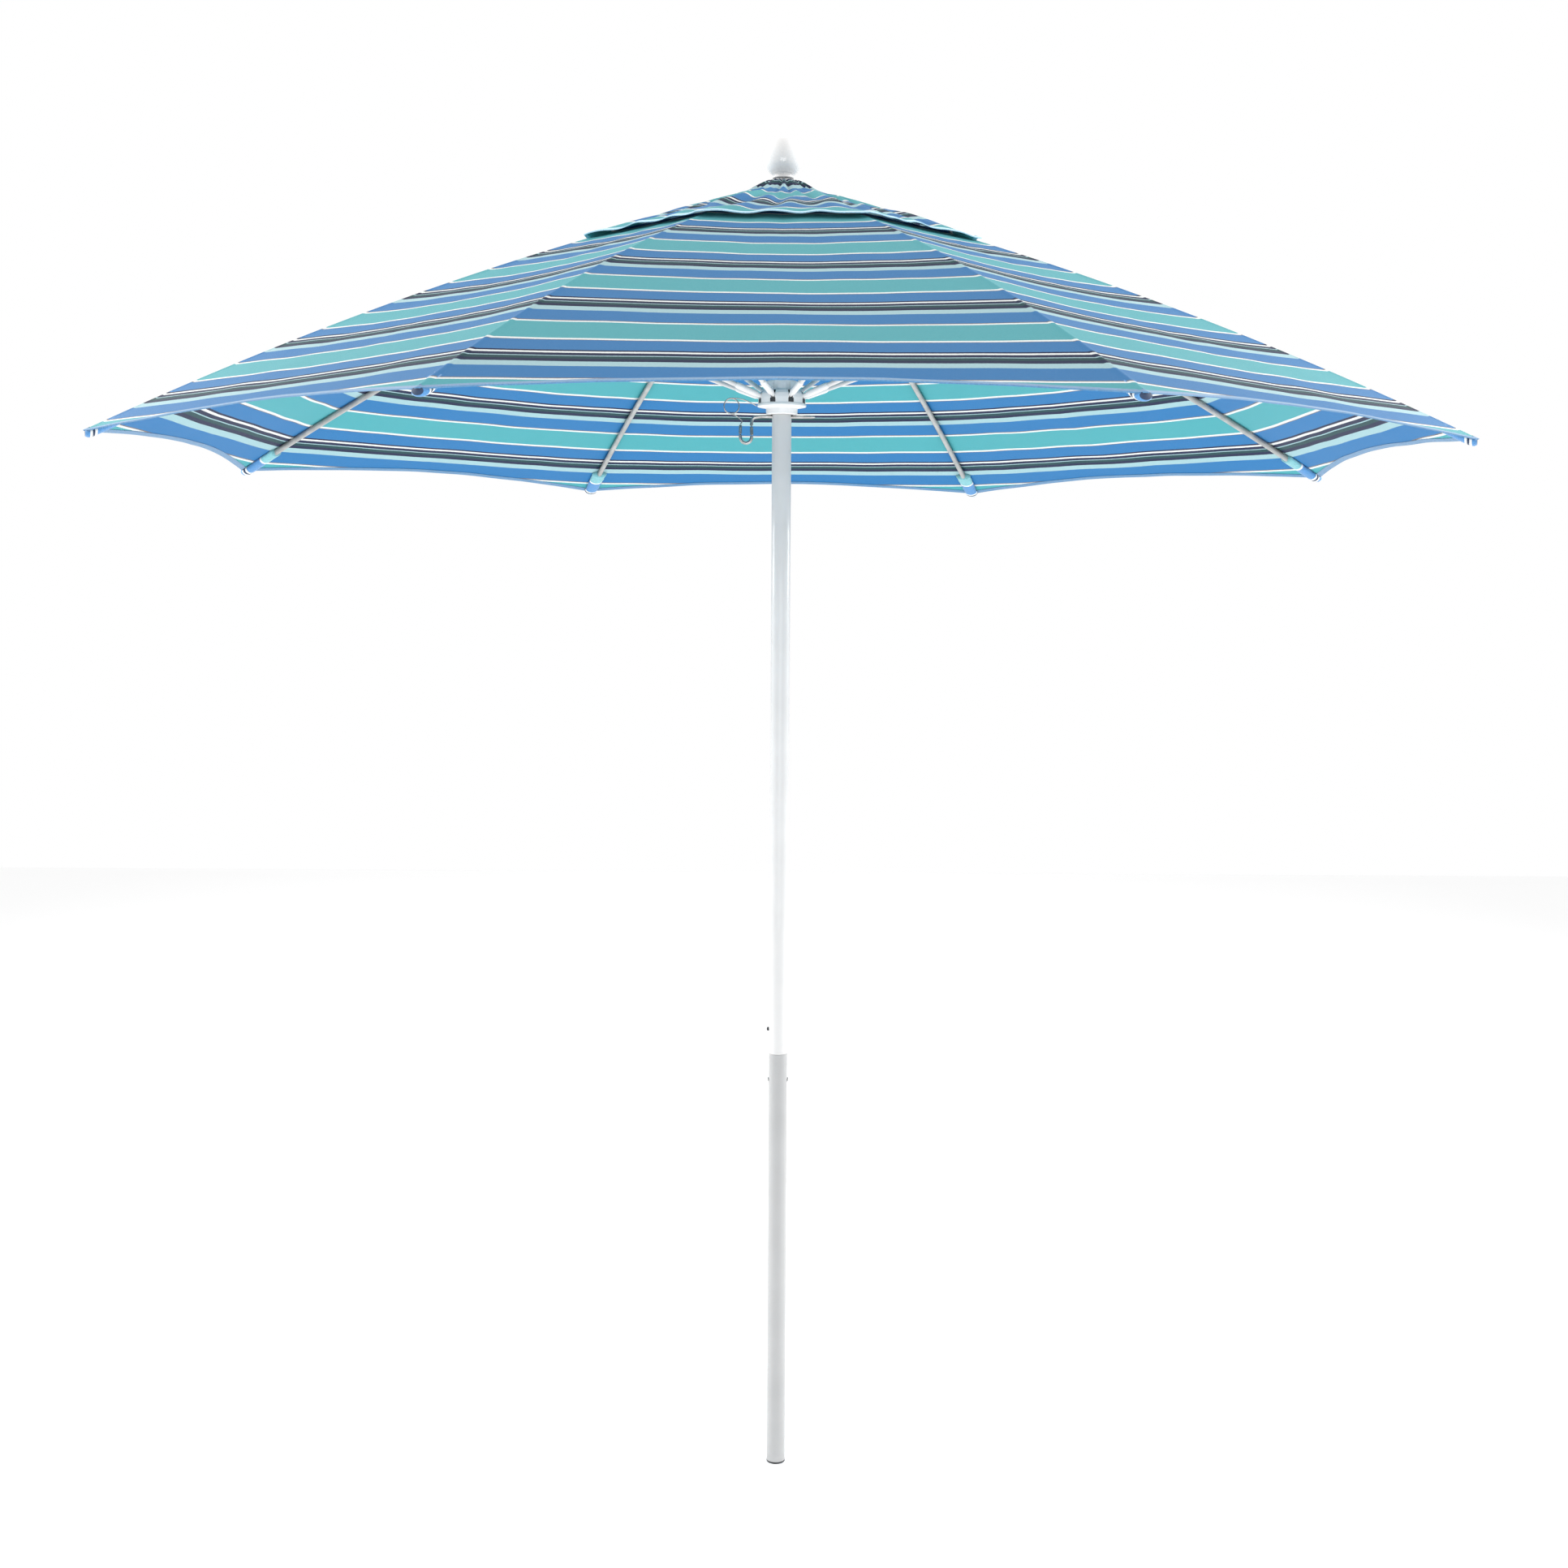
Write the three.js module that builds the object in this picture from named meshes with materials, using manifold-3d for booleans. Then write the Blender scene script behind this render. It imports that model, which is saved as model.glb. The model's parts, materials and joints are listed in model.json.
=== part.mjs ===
// Octagonal beach umbrella on a two-piece pole, open, with its runner held up by a bent-wire pin.
// Millimetres, +Z up. The origin is the centre of the pole's bottom end.
// Eight ribs hang from a crown hub on the pole's top. A strut runs from a bracket on each rib to the
// runner, and rib and strut reach equally far from the bracket's pivot, so that the runner stays on
// the pole while the ribs fold down. Azimuths run anticlockwise seen from above, from +X.

import * as THREE from 'three';
import { mergeVertices } from 'three/addons/utils/BufferGeometryUtils.js';
import Module from 'manifold-3d';

const wasm = await Module();
wasm.setup();

// ---- driving dimensions ----

const CLEARANCE = 0.3;           // between a piece and the one it seats on or goes into
const RIB_COUNT = 8;
const FIRST_RIB_AZIMUTH = 22.5;  // degrees

const POLE_HEIGHT = 2572;        // top of the upper pole above the ground
const POLE_JOINT_Z = 866;        // where the upper pole stands on the lower one
const LOWER_POLE_RADIUS = 19.05;
const UPPER_POLE_RADIUS = 19.25;
const POLE_WALL = 1.5;
const FOOT_THICKNESS = 3;        // rim of the plug under the pole's end
const FOOT_PLUG_DEPTH = 40;

const COUPLER_REACH = 110;       // into each pole
const COUPLER_WALL = 2;
const RIVET_BELOW_JOINT = 55;
const RIVET_RADIUS = 2.4;
const RIVET_HEAD_RADIUS = 5;
const RIVET_HEAD_HEIGHT = 2.2;
const BUTTON_ABOVE_JOINT = 50;
const BUTTON_RADIUS = 4;
const BUTTON_PROUD = 4.5;
const BUTTON_HEAD_RADIUS = 5.6;  // the shoulder that keeps the button in
const SPRING_THICKNESS = 0.8;
const SPRING_WIDTH = 9;
const SPRING_LEG = 42;
const SPRING_FOOT = 2.5;         // far leg's end from the coupler's wall

const RIM_RADIUS = 1311;         // axis to each corner of the canopy
const RIM_DROP = 492;            // corners of the canopy below the pole's top
const PIVOT_RADIUS = 40;         // of the rib pivots and the strut pivots alike
const CROWN_PIVOT_RISE = 3;      // rib pivots over the pole's top
const LINK_ANGLE = 20;           // degrees from the horizontal, of the pivot lines, when open
const LINK_LENGTH = 562;         // pivot to pivot, on the rib and on the strut
const RIB_RADIUS = 6;
const RIB_ROOT = 22;             // pivot to where the rib reaches its full thickness
const STRUT_RADIUS = 4.75;
const EYE_RADIUS = 5.6;          // of the flat ends that turn on the wire rings
const EYE_THICKNESS = 8;
const WIRE_RADIUS = 1.5;         // of the two wire rings
const WIRE_PLAY = 0.5;
const RIB_ABOVE_PIVOT = 16;      // rib's axis over the bracket's pivot
const BRACKET_CHEEK = 4.5;
const BRACKET_LENGTH = 34;
const BRACKET_GRIP = 1.8;        // how far the clamp reaches past the rib's axis
const BRACKET_PLAY = 0.8;        // round the rib
const BRACKET_PIN_RADIUS = 1.6;
const SOCKET_RADIUS = 6.4;
const SOCKET_LENGTH = 62;

const HUB_RADIUS = 50;
const HUB_HEIGHT = 26;
const HUB_SLEEVE_RADIUS = 28;
const HUB_SLEEVE_DROP = 46;      // below the pole's top
const HUB_TOP = 22;              // roof over the pole's end
const SLOT_WIDTH = 9;
const SLOT_FLOOR_RADIUS = 30.5;

const BUSH_WALL = 2.4;
const BUSH_PLAY = 0.8;           // on the pole
const RUNNER_LOBE_RADIUS = 47;
const RUNNER_FLANGE_RADIUS = 48.5;
const RUNNER_COLLAR_RADIUS = 31;
const RUNNER_TOP_RADIUS = 27.5;
const RUNNER_DROP = 34;          // strut pivots over the runner's bottom
const RUNNER_FLANGE_DROP = 19;   // strut pivots over the flange's underside
const RUNNER_FLANGE_HEIGHT = 5;
const RUNNER_RISE = 32;          // runner's top over the strut pivots
const LOBE_RISE = 12;            // lobes' top over the strut pivots

const PIN_RADIUS = 3.2;
const PIN_PLAY = 0.6;            // in the pole's holes
const PIN_GAP = 1.2;             // under the runner
const PIN_RIGHT = 66;            // shank's end from the pole's axis
const PIN_LEFT = 60;
const PIN_LOOP_DROP = 52;
const PIN_LOOP_WIDTH = 22;
const PIN_HOOK = 16;
const LANYARD_RADIUS = 1.1;
const LANYARD_REACH = 50;        // flange to the middle of the slack turns
const LANYARD_TURNS = 2;
const LANYARD_TURN_RADIUS = 15;
const LANYARD_TURN_STEP = 4;     // sideways from one turn to the next
const LANYARD_POINTS_PER_TURN = 12;

const BALL_RADIUS = 39;
const BALL_RISE = 82;            // ball's middle over the pole's top
const BALL_NECK_RADIUS = 17;
const BALL_COLLAR = 5;           // of the flat under the ball, past its neck
const STUD_RADIUS = 4;

const CLOTH = 3;                 // thickness of the canopy's solids
const CLOTH_LIFT = 1;            // over the ribs
const CLOTH_GAP = 0.6;           // between neighbouring panels
const VENT_HOLE_RADIUS = 300;
const VENT_RADIUS = 407;         // axis to each corner of the vent cap
const VENT_RIM_DROP = 97;        // corners of the vent cap below the pole's top
const VENT_TOP_RADIUS = 24;
const VENT_TOP_RISE = 39;        // vent cap's top over the pole's top
const VENT_DISH = 0.04;          // of its rise, how far the vent cap hollows between top and rim
const HEM_ARC = 38;              // how far the hem is cut in at the middle of each gore
const VENT_HEM_ARC = 12;
const MID_GORE_SAG = 8;          // of the cloth midway between two ribs, below a straight line from rib to rib

// ---- values that follow ----

const rad = THREE.MathUtils.degToRad;
const crownPivotZ = POLE_HEIGHT + CROWN_PIVOT_RISE;
const ballZ = POLE_HEIGHT + BALL_RISE;
const rimZ = POLE_HEIGHT - RIM_DROP;
const ventRimZ = POLE_HEIGHT - VENT_RIM_DROP;
const ventTopZ = POLE_HEIGHT + VENT_TOP_RISE;
const linkRise = LINK_LENGTH * Math.sin(rad(LINK_ANGLE));
const linkRun = LINK_LENGTH * Math.cos(rad(LINK_ANGLE));
const bracketRadius = PIVOT_RADIUS + linkRun;
const bracketZ = crownPivotZ - linkRise;
const runnerPivotZ = crownPivotZ - 2 * linkRise;
const runnerBottom = runnerPivotZ - RUNNER_DROP;
const pinZ = runnerBottom - PIN_GAP - PIN_RADIUS;
const lowerBore = LOWER_POLE_RADIUS - POLE_WALL;
const upperBore = UPPER_POLE_RADIUS - POLE_WALL;
const couplerRadius = Math.min(lowerBore, upperBore) - CLEARANCE;
const couplerBore = couplerRadius - COUPLER_WALL;
const rivetZ = POLE_JOINT_Z - RIVET_BELOW_JOINT;
const buttonZ = POLE_JOINT_Z + BUTTON_ABOVE_JOINT;
const bushBore = UPPER_POLE_RADIUS + BUSH_PLAY;
const bushRadius = bushBore + BUSH_WALL;
const hubBore = UPPER_POLE_RADIUS + CLEARANCE;
const hubTop = POLE_HEIGHT + HUB_TOP;
const clothOverRib = RIB_RADIUS + CLOTH_LIFT + CLOTH / 2;
const azimuths = Array.from({ length: RIB_COUNT }, (_, i) => FIRST_RIB_AZIMUTH + (360 / RIB_COUNT) * i);
const halfGore = Math.PI / RIB_COUNT;

// The rib's axis as height over radius: one bow from the crown over the bracket to the rim.
const ribStart = new THREE.Vector2(PIVOT_RADIUS, crownPivotZ);
const ribMiddle = new THREE.Vector2(bracketRadius, bracketZ + RIB_ABOVE_PIVOT);
const ribTip = new THREE.Vector2(RIM_RADIUS - 6, rimZ - clothOverRib);
const ribSlopeIn = (ribStart.y - ribMiddle.y) / (ribMiddle.x - ribStart.x);
const ribSlopeOut = (ribMiddle.y - ribTip.y) / (ribTip.x - ribMiddle.x);

const ribBow = (ribSlopeOut - ribSlopeIn) / (ribTip.x - ribStart.x);
const bracketTilt = Math.atan(ribSlopeIn + ribBow * (ribMiddle.x - ribStart.x));

function ribHeight(radius) {
  const run = radius - ribStart.x;
  return ribStart.y - ribSlopeIn * run - ribBow * run * (radius - ribMiddle.x);
}

// ---- solids ----

function solid(geometry) {
  geometry.deleteAttribute('normal');
  geometry.deleteAttribute('uv');
  const merged = mergeVertices(geometry, 1e-4);
  const vertProperties = new Float32Array(merged.getAttribute('position').array);
  const triVerts = new Uint32Array(merged.index.array);
  return new wasm.Manifold(new wasm.Mesh({ numProp: 3, vertProperties, triVerts }));
}

function geometryOf(manifold) {
  const mesh = manifold.getMesh();
  const geometry = new THREE.BufferGeometry();
  geometry.setAttribute('position', new THREE.BufferAttribute(new Float32Array(mesh.vertProperties), 3));
  geometry.setIndex(new THREE.BufferAttribute(new Uint32Array(mesh.triVerts), 1));
  return geometry;
}

// A solid of revolution about +Z from [radius, height] points that close on themselves or on the axis.
function turned(profile, segments = 20) {
  const points = profile.map(([radius, height]) => new THREE.Vector2(radius, height));
  if (profile[0][0] > 0) points.push(points[0].clone());
  return new THREE.LatheGeometry(points, segments).rotateX(Math.PI / 2);
}

function ring(inner, outer, low, high, segments = 20) {
  return turned([[inner, low], [outer, low], [outer, high], [inner, high]], segments);
}

function bar(radius, from, to, segments = 10) {
  const start = new THREE.Vector3(...from);
  const along = new THREE.Vector3(...to).sub(start);
  const turn = new THREE.Quaternion().setFromUnitVectors(
    new THREE.Vector3(0, 1, 0), along.clone().normalize());
  const middle = start.addScaledVector(along, 0.5);
  return new THREE.CylinderGeometry(radius, radius, along.length(), segments)
    .applyQuaternion(turn)
    .translate(middle.x, middle.y, middle.z);
}

function block(x, y, z) {
  return new THREE.BoxGeometry(x[1] - x[0], y[1] - y[0], z[1] - z[0])
    .translate((x[0] + x[1]) / 2, (y[0] + y[1]) / 2, (z[0] + z[1]) / 2);
}

// A round section carried along a smooth curve through the points.
function wire(radius, points, steps, sides = 8) {
  const section = new THREE.Shape();
  section.absarc(0, 0, radius, 0, 2 * Math.PI);
  const path = new THREE.CatmullRomCurve3(points.map((p) => new THREE.Vector3(...p)), false, 'centripetal');
  return new THREE.ExtrudeGeometry(section, { steps, curveSegments: sides / 2, extrudePath: path });
}

// A closed sheet between an upper and a lower grid of points, both indexed [row][column].
function sheetSolid(upper, lower) {
  const rows = upper.length;
  const columns = upper[0].length;
  const positions = [...upper.flat(), ...lower.flat()].flatMap((p) => [p.x, p.y, p.z]);
  const top = (r, c) => r * columns + c;
  const under = (r, c) => rows * columns + top(r, c);
  const index = [];
  const quad = (a, b, c, d) => index.push(a, b, c, a, c, d);
  for (let r = 0; r < rows - 1; r += 1) {
    for (let c = 0; c < columns - 1; c += 1) {
      quad(top(r, c), top(r + 1, c), top(r + 1, c + 1), top(r, c + 1));
      quad(under(r, c), under(r, c + 1), under(r + 1, c + 1), under(r + 1, c));
    }
    quad(top(r, 0), under(r, 0), under(r + 1, 0), top(r + 1, 0));
    quad(top(r + 1, columns - 1), under(r + 1, columns - 1), under(r, columns - 1), top(r, columns - 1));
  }
  for (let c = 0; c < columns - 1; c += 1) {
    quad(top(0, c + 1), under(0, c + 1), under(0, c), top(0, c));
    quad(top(rows - 1, c), under(rows - 1, c), under(rows - 1, c + 1), top(rows - 1, c + 1));
  }
  const geometry = new THREE.BufferGeometry();
  geometry.setAttribute('position', new THREE.Float32BufferAttribute(positions, 3));
  geometry.setIndex(index);
  return geometry;
}

// ---- scene ----

const umbrella = new THREE.Group();
umbrella.name = 'beach_umbrella';

const finish = (color, roughness, metalness = 0) => new THREE.MeshStandardMaterial({ color, roughness, metalness });
const materials = {
  paint: finish(0xe9e9e7, 0.35, 0.1),
  plastic: finish(0xf1f1ef, 0.4),
  dark: finish(0x24262a, 0.55),
  steel: finish(0x9a9c9e, 0.3, 1),
  fibreglass: finish(0x8b8f92, 0.5),
  cloth: finish(0x3d86b8, 0.85),
};

function add(name, geometry, material, azimuth = 0) {
  const mesh = new THREE.Mesh(geometry.isBufferGeometry ? geometry : geometryOf(geometry), material);
  mesh.name = name;
  mesh.rotation.z = rad(azimuth);
  umbrella.add(mesh);
}

// ---- pole ----

function addLowerPole() {
  const tube = solid(ring(lowerBore, LOWER_POLE_RADIUS, FOOT_THICKNESS + CLEARANCE, POLE_JOINT_Z - CLEARANCE));
  const hole = bar(RIVET_RADIUS + CLEARANCE, [-LOWER_POLE_RADIUS * 2, 0, rivetZ], [LOWER_POLE_RADIUS * 2, 0, rivetZ]);
  add('lower_pole', tube.subtract(solid(hole)), materials.paint);

  const plugRadius = lowerBore - CLEARANCE;
  const plugTop = FOOT_THICKNESS + FOOT_PLUG_DEPTH;
  add('foot_plug', turned([
    [0, 0], [LOWER_POLE_RADIUS, 0], [LOWER_POLE_RADIUS, FOOT_THICKNESS], [plugRadius, FOOT_THICKNESS],
    [plugRadius, plugTop], [plugRadius - 3, plugTop], [plugRadius - 3, FOOT_THICKNESS + 2],
    [0, FOOT_THICKNESS + 2],
  ]), materials.dark);
}

function addCoupler() {
  const tube = solid(ring(couplerBore, couplerRadius, POLE_JOINT_Z - COUPLER_REACH, POLE_JOINT_Z + COUPLER_REACH));
  const through = bar(RIVET_RADIUS + CLEARANCE, [-couplerRadius * 2, 0, rivetZ], [couplerRadius * 2, 0, rivetZ]);
  const port = bar(BUTTON_RADIUS + CLEARANCE, [-couplerRadius * 2, 0, buttonZ], [0, 0, buttonZ]);
  add('pole_coupler', tube.subtract(solid(through)).subtract(solid(port)), materials.steel);

  const face = LOWER_POLE_RADIUS + CLEARANCE;
  const end = face + RIVET_HEAD_HEIGHT;
  const rivet = turned([
    [0, -end], [RIVET_HEAD_RADIUS * 0.6, -end], [RIVET_HEAD_RADIUS, -face], [RIVET_RADIUS, -face],
    [RIVET_RADIUS, face], [RIVET_HEAD_RADIUS, face], [RIVET_HEAD_RADIUS * 0.6, end], [0, end],
  ], 12).rotateY(Math.PI / 2).translate(0, 0, rivetZ);
  add('coupler_rivet', rivet, materials.steel);
}

function addSnapButton() {
  const tip = UPPER_POLE_RADIUS + BUTTON_PROUD;
  const shoulder = Math.sqrt(couplerBore ** 2 - BUTTON_HEAD_RADIUS ** 2) - 3 * CLEARANCE;
  const inner = shoulder - 2;
  const button = turned([
    [0, inner], [BUTTON_HEAD_RADIUS, inner], [BUTTON_HEAD_RADIUS, shoulder], [BUTTON_RADIUS, shoulder],
    [BUTTON_RADIUS, tip - 2], [BUTTON_RADIUS * 0.6, tip], [0, tip],
  ], 16).rotateY(-Math.PI / 2).translate(0, 0, buttonZ);
  add('snap_button', button, materials.dark);

  // A leaf bent to a V: one leg presses the button out, the other bears on the coupler's far wall.
  const near = inner - CLEARANCE - SPRING_THICKNESS;
  const far = couplerBore - SPRING_FOOT;
  const bend = buttonZ - SPRING_LEG;
  const leaf = new THREE.Shape([
    [-near, buttonZ + 4], [-near, buttonZ - 6], [0, bend], [far, buttonZ + 4],
    [far - SPRING_THICKNESS * 1.5, buttonZ + 4], [0, bend + 2.4], [-near + SPRING_THICKNESS, buttonZ - 6],
    [-near + SPRING_THICKNESS, buttonZ + 4],
  ].map(([x, z]) => new THREE.Vector2(x, z)));
  const spring = new THREE.ExtrudeGeometry(leaf, { depth: SPRING_WIDTH, bevelEnabled: false })
    .translate(0, 0, -SPRING_WIDTH / 2)
    .rotateX(Math.PI / 2);
  add('button_spring', spring, materials.steel);
}

function addUpperPole() {
  const tube = solid(ring(upperBore, UPPER_POLE_RADIUS, POLE_JOINT_Z, POLE_HEIGHT));
  const reach = UPPER_POLE_RADIUS * 2;
  const port = bar(BUTTON_RADIUS + CLEARANCE, [-reach, 0, buttonZ], [0, 0, buttonZ]);
  const pinHoles = bar(PIN_RADIUS + PIN_PLAY, [-reach, 0, pinZ], [reach, 0, pinZ]);
  add('upper_pole', tube.subtract(solid(port)).subtract(solid(pinHoles)), materials.paint);
}

// ---- crown ----

// Slots for the eyes of the ribs or struts, open above and below, and the channel of their wire ring.
function slotted(body, low, high, outer, pivotZ) {
  let cut = body;
  for (const azimuth of azimuths) {
    const slot = block([SLOT_FLOOR_RADIUS, outer * 1.5], [-SLOT_WIDTH / 2, SLOT_WIDTH / 2], [low - 1, high + 1])
      .rotateZ(rad(azimuth));
    cut = cut.subtract(solid(slot));
  }
  return cut.subtract(solid(wireRing(WIRE_RADIUS + CLEARANCE, pivotZ)));
}

function wireRing(radius, height) {
  return new THREE.TorusGeometry(PIVOT_RADIUS, radius, 6, 32).translate(0, 0, height);
}

function addCrown() {
  const low = crownPivotZ - HUB_HEIGHT / 2;
  const high = crownPivotZ + HUB_HEIGHT / 2;
  const sleeveBottom = POLE_HEIGHT - HUB_SLEEVE_DROP;
  const shelf = POLE_HEIGHT + CLEARANCE;
  const studHole = STUD_RADIUS + CLEARANCE;
  const body = solid(turned([
    [hubBore, sleeveBottom], [HUB_SLEEVE_RADIUS, sleeveBottom], [HUB_SLEEVE_RADIUS, low - 2],
    [HUB_RADIUS, low + 3], [HUB_RADIUS, high - 4], [HUB_RADIUS - 8, high], [HUB_SLEEVE_RADIUS - 2, high + 1],
    [HUB_SLEEVE_RADIUS - 6, hubTop], [studHole, hubTop], [studHole, shelf], [hubBore, shelf],
  ]));
  add('crown_hub', slotted(body, low - 2, high + 1, HUB_RADIUS, crownPivotZ), materials.plastic);
  add('crown_ring', wireRing(WIRE_RADIUS, crownPivotZ), materials.steel);

  const neckLow = Math.max(ventTopZ + CLOTH + 1, hubTop + CLEARANCE);
  const ballLow = ballZ - Math.sqrt(BALL_RADIUS ** 2 - BALL_NECK_RADIUS ** 2);
  const boreTop = ballZ + 8;
  const arcSteps = 9;
  const arc = Array.from({ length: arcSteps + 1 }, (_, i) => {
    const start = Math.asin((ballLow - ballZ) / BALL_RADIUS);
    const angle = start + ((Math.PI / 2 - start) * i) / arcSteps;
    return [i === arcSteps ? 0 : BALL_RADIUS * Math.cos(angle), ballZ + BALL_RADIUS * Math.sin(angle)];
  });
  add('finial', turned([
    [0, boreTop], [studHole, boreTop], [studHole, neckLow], [BALL_NECK_RADIUS + BALL_COLLAR, neckLow],
    [BALL_NECK_RADIUS + BALL_COLLAR, Math.max(neckLow + 1, ballLow - 1)], ...arc,
  ]), materials.plastic);

  const studLow = shelf - 12;
  add('finial_stud', turned([
    [0, studLow], [STUD_RADIUS * 2.4, studLow], [STUD_RADIUS * 2.4, shelf - CLEARANCE],
    [STUD_RADIUS, shelf - CLEARANCE], [STUD_RADIUS, boreTop - 2], [0, boreTop - 2],
  ], 12), materials.steel);
}

// ---- ribs and struts, each made at azimuth 0 and then turned ----

function eye(radius, height) {
  return solid(bar(EYE_RADIUS, [radius, -EYE_THICKNESS / 2, height], [radius, EYE_THICKNESS / 2, height]));
}

function eyeHole(radius, height, size = WIRE_RADIUS + WIRE_PLAY) {
  return solid(bar(size, [radius, -HUB_RADIUS, height], [radius, HUB_RADIUS, height], 8));
}

function ribSolid() {
  const at = (radius) => [radius, 0, ribHeight(radius)];
  const rodStart = PIVOT_RADIUS + RIB_ROOT;
  const rod = solid(wire(RIB_RADIUS, spread(rodStart, ribTip.x, 10).map(at), 12));
  const root = solid(bar(EYE_THICKNESS / 2, at(PIVOT_RADIUS), at(rodStart + 2)));
  return rod.add(root).add(eye(PIVOT_RADIUS, crownPivotZ)).subtract(eyeHole(PIVOT_RADIUS, crownPivotZ));
}

// A clamp round the rib with two cheeks that hang down on either side of the strut's end.
function bracketSolid() {
  const half = EYE_THICKNESS / 2 + 2 * CLEARANCE + BRACKET_CHEEK;
  const length = BRACKET_LENGTH / 2;
  const over = RIB_ABOVE_PIVOT * Math.cos(bracketTilt);
  const outline = block([-length, length], [-half, half], [-EYE_RADIUS - 1, over + BRACKET_GRIP]);
  const slot = block([-length - 1, length + 1], [-half + BRACKET_CHEEK, half - BRACKET_CHEEK],
    [-EYE_RADIUS - 5, EYE_RADIUS + 2 * CLEARANCE]);
  const bore = bar(RIB_RADIUS + BRACKET_PLAY, [-length - 9, 0, over], [length + 9, 0, over]);
  const pin = solid(bar(BRACKET_PIN_RADIUS, [0, -half, 0], [0, half, 0]));
  const clamp = solid(outline).subtract(solid(slot)).subtract(solid(bore)).add(pin);
  return geometryOf(clamp).rotateY(bracketTilt).translate(bracketRadius, 0, bracketZ);
}

function strutDirection() {
  return new THREE.Vector2(linkRun, linkRise).normalize();
}

function strutSolids() {
  const along = strutDirection();
  const at = (distance) => [PIVOT_RADIUS + along.x * distance, 0, runnerPivotZ + along.y * distance];
  const rodStart = EYE_RADIUS + 9;
  const rodEnd = LINK_LENGTH - BRACKET_LENGTH / 2 - EYE_RADIUS;
  const rod = solid(bar(STRUT_RADIUS, at(rodStart), at(rodEnd)))
    .add(solid(bar(EYE_THICKNESS / 2, at(rodEnd - 2), at(LINK_LENGTH))))
    .add(eye(bracketRadius, bracketZ))
    .subtract(eyeHole(bracketRadius, bracketZ, BRACKET_PIN_RADIUS + WIRE_PLAY));

  const flat = block([0, rodStart], [-EYE_THICKNESS / 2, EYE_THICKNESS / 2], [-EYE_RADIUS, EYE_RADIUS])
    .rotateY(-rad(LINK_ANGLE))
    .translate(PIVOT_RADIUS, 0, runnerPivotZ);
  const socket = solid(bar(SOCKET_RADIUS, at(rodStart - 1), at(SOCKET_LENGTH)))
    .add(solid(flat))
    .add(eye(PIVOT_RADIUS, runnerPivotZ))
    .subtract(eyeHole(PIVOT_RADIUS, runnerPivotZ))
    .subtract(solid(bar(STRUT_RADIUS + CLEARANCE, at(rodStart - CLEARANCE), at(SOCKET_LENGTH * 2))));
  return { rod, socket };
}

function addRibsAndStruts() {
  const rib = geometryOf(ribSolid());
  const bracket = bracketSolid();
  const { rod, socket } = strutSolids();
  azimuths.forEach((azimuth, i) => {
    add(`rib_${i + 1}`, rib, materials.fibreglass, azimuth);
    add(`rib_bracket_${i + 1}`, bracket, materials.plastic, azimuth);
    add(`strut_${i + 1}`, geometryOf(rod), materials.paint, azimuth);
    add(`strut_socket_${i + 1}`, geometryOf(socket), materials.plastic, azimuth);
  });
}

// ---- runner ----

function addRunner() {
  const top = runnerPivotZ + RUNNER_RISE;
  const flange = runnerPivotZ - RUNNER_FLANGE_DROP;
  const lobeTop = runnerPivotZ + LOBE_RISE;
  const bore = bushRadius + CLEARANCE;
  const body = solid(turned([
    [bore, runnerBottom], [RUNNER_COLLAR_RADIUS, runnerBottom], [RUNNER_COLLAR_RADIUS + 3, flange - 3],
    [RUNNER_FLANGE_RADIUS, flange], [RUNNER_FLANGE_RADIUS, flange + RUNNER_FLANGE_HEIGHT],
    [RUNNER_LOBE_RADIUS, flange + RUNNER_FLANGE_HEIGHT + 1], [RUNNER_LOBE_RADIUS, lobeTop - 8],
    [RUNNER_LOBE_RADIUS - 5, lobeTop], [RUNNER_TOP_RADIUS, lobeTop + 2], [RUNNER_TOP_RADIUS, top], [bore, top],
  ]));
  const slotLow = flange + RUNNER_FLANGE_HEIGHT + 4;
  add('runner_hub', slotted(body, slotLow, lobeTop + 2, RUNNER_FLANGE_RADIUS, runnerPivotZ), materials.plastic);
  add('runner_bush', ring(bushBore, bushRadius, runnerBottom + 2, top + 2), materials.dark);
  add('runner_ring', wireRing(WIRE_RADIUS, runnerPivotZ), materials.steel);
}

// ---- lock pin ----

function addLockPin() {
  const low = pinZ - PIN_LOOP_DROP;
  const outer = -PIN_LEFT - PIN_LOOP_WIDTH;
  const bend = PIN_LOOP_WIDTH / 2;
  add('lock_pin', wire(PIN_RADIUS, [
    [PIN_RIGHT, 0, pinZ], [0, 0, pinZ], [-PIN_LEFT + 14, 0, pinZ], [-PIN_LEFT + 3, 0, pinZ - 3],
    [-PIN_LEFT, 0, pinZ - 14], [-PIN_LEFT, 0, low + bend], [-PIN_LEFT - bend * 0.3, 0, low + bend * 0.3],
    [-PIN_LEFT - bend, 0, low], [outer + bend * 0.3, 0, low + bend * 0.3], [outer, 0, low + bend],
    [outer, 0, pinZ - PIN_HOOK],
  ], 48), materials.steel);

  // Wire leash from the flange's rim, round two slack turns and down to the pin's free end.
  add('pin_lanyard', wire(LANYARD_RADIUS, lanyardRoute(), 70), materials.steel);
}

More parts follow.
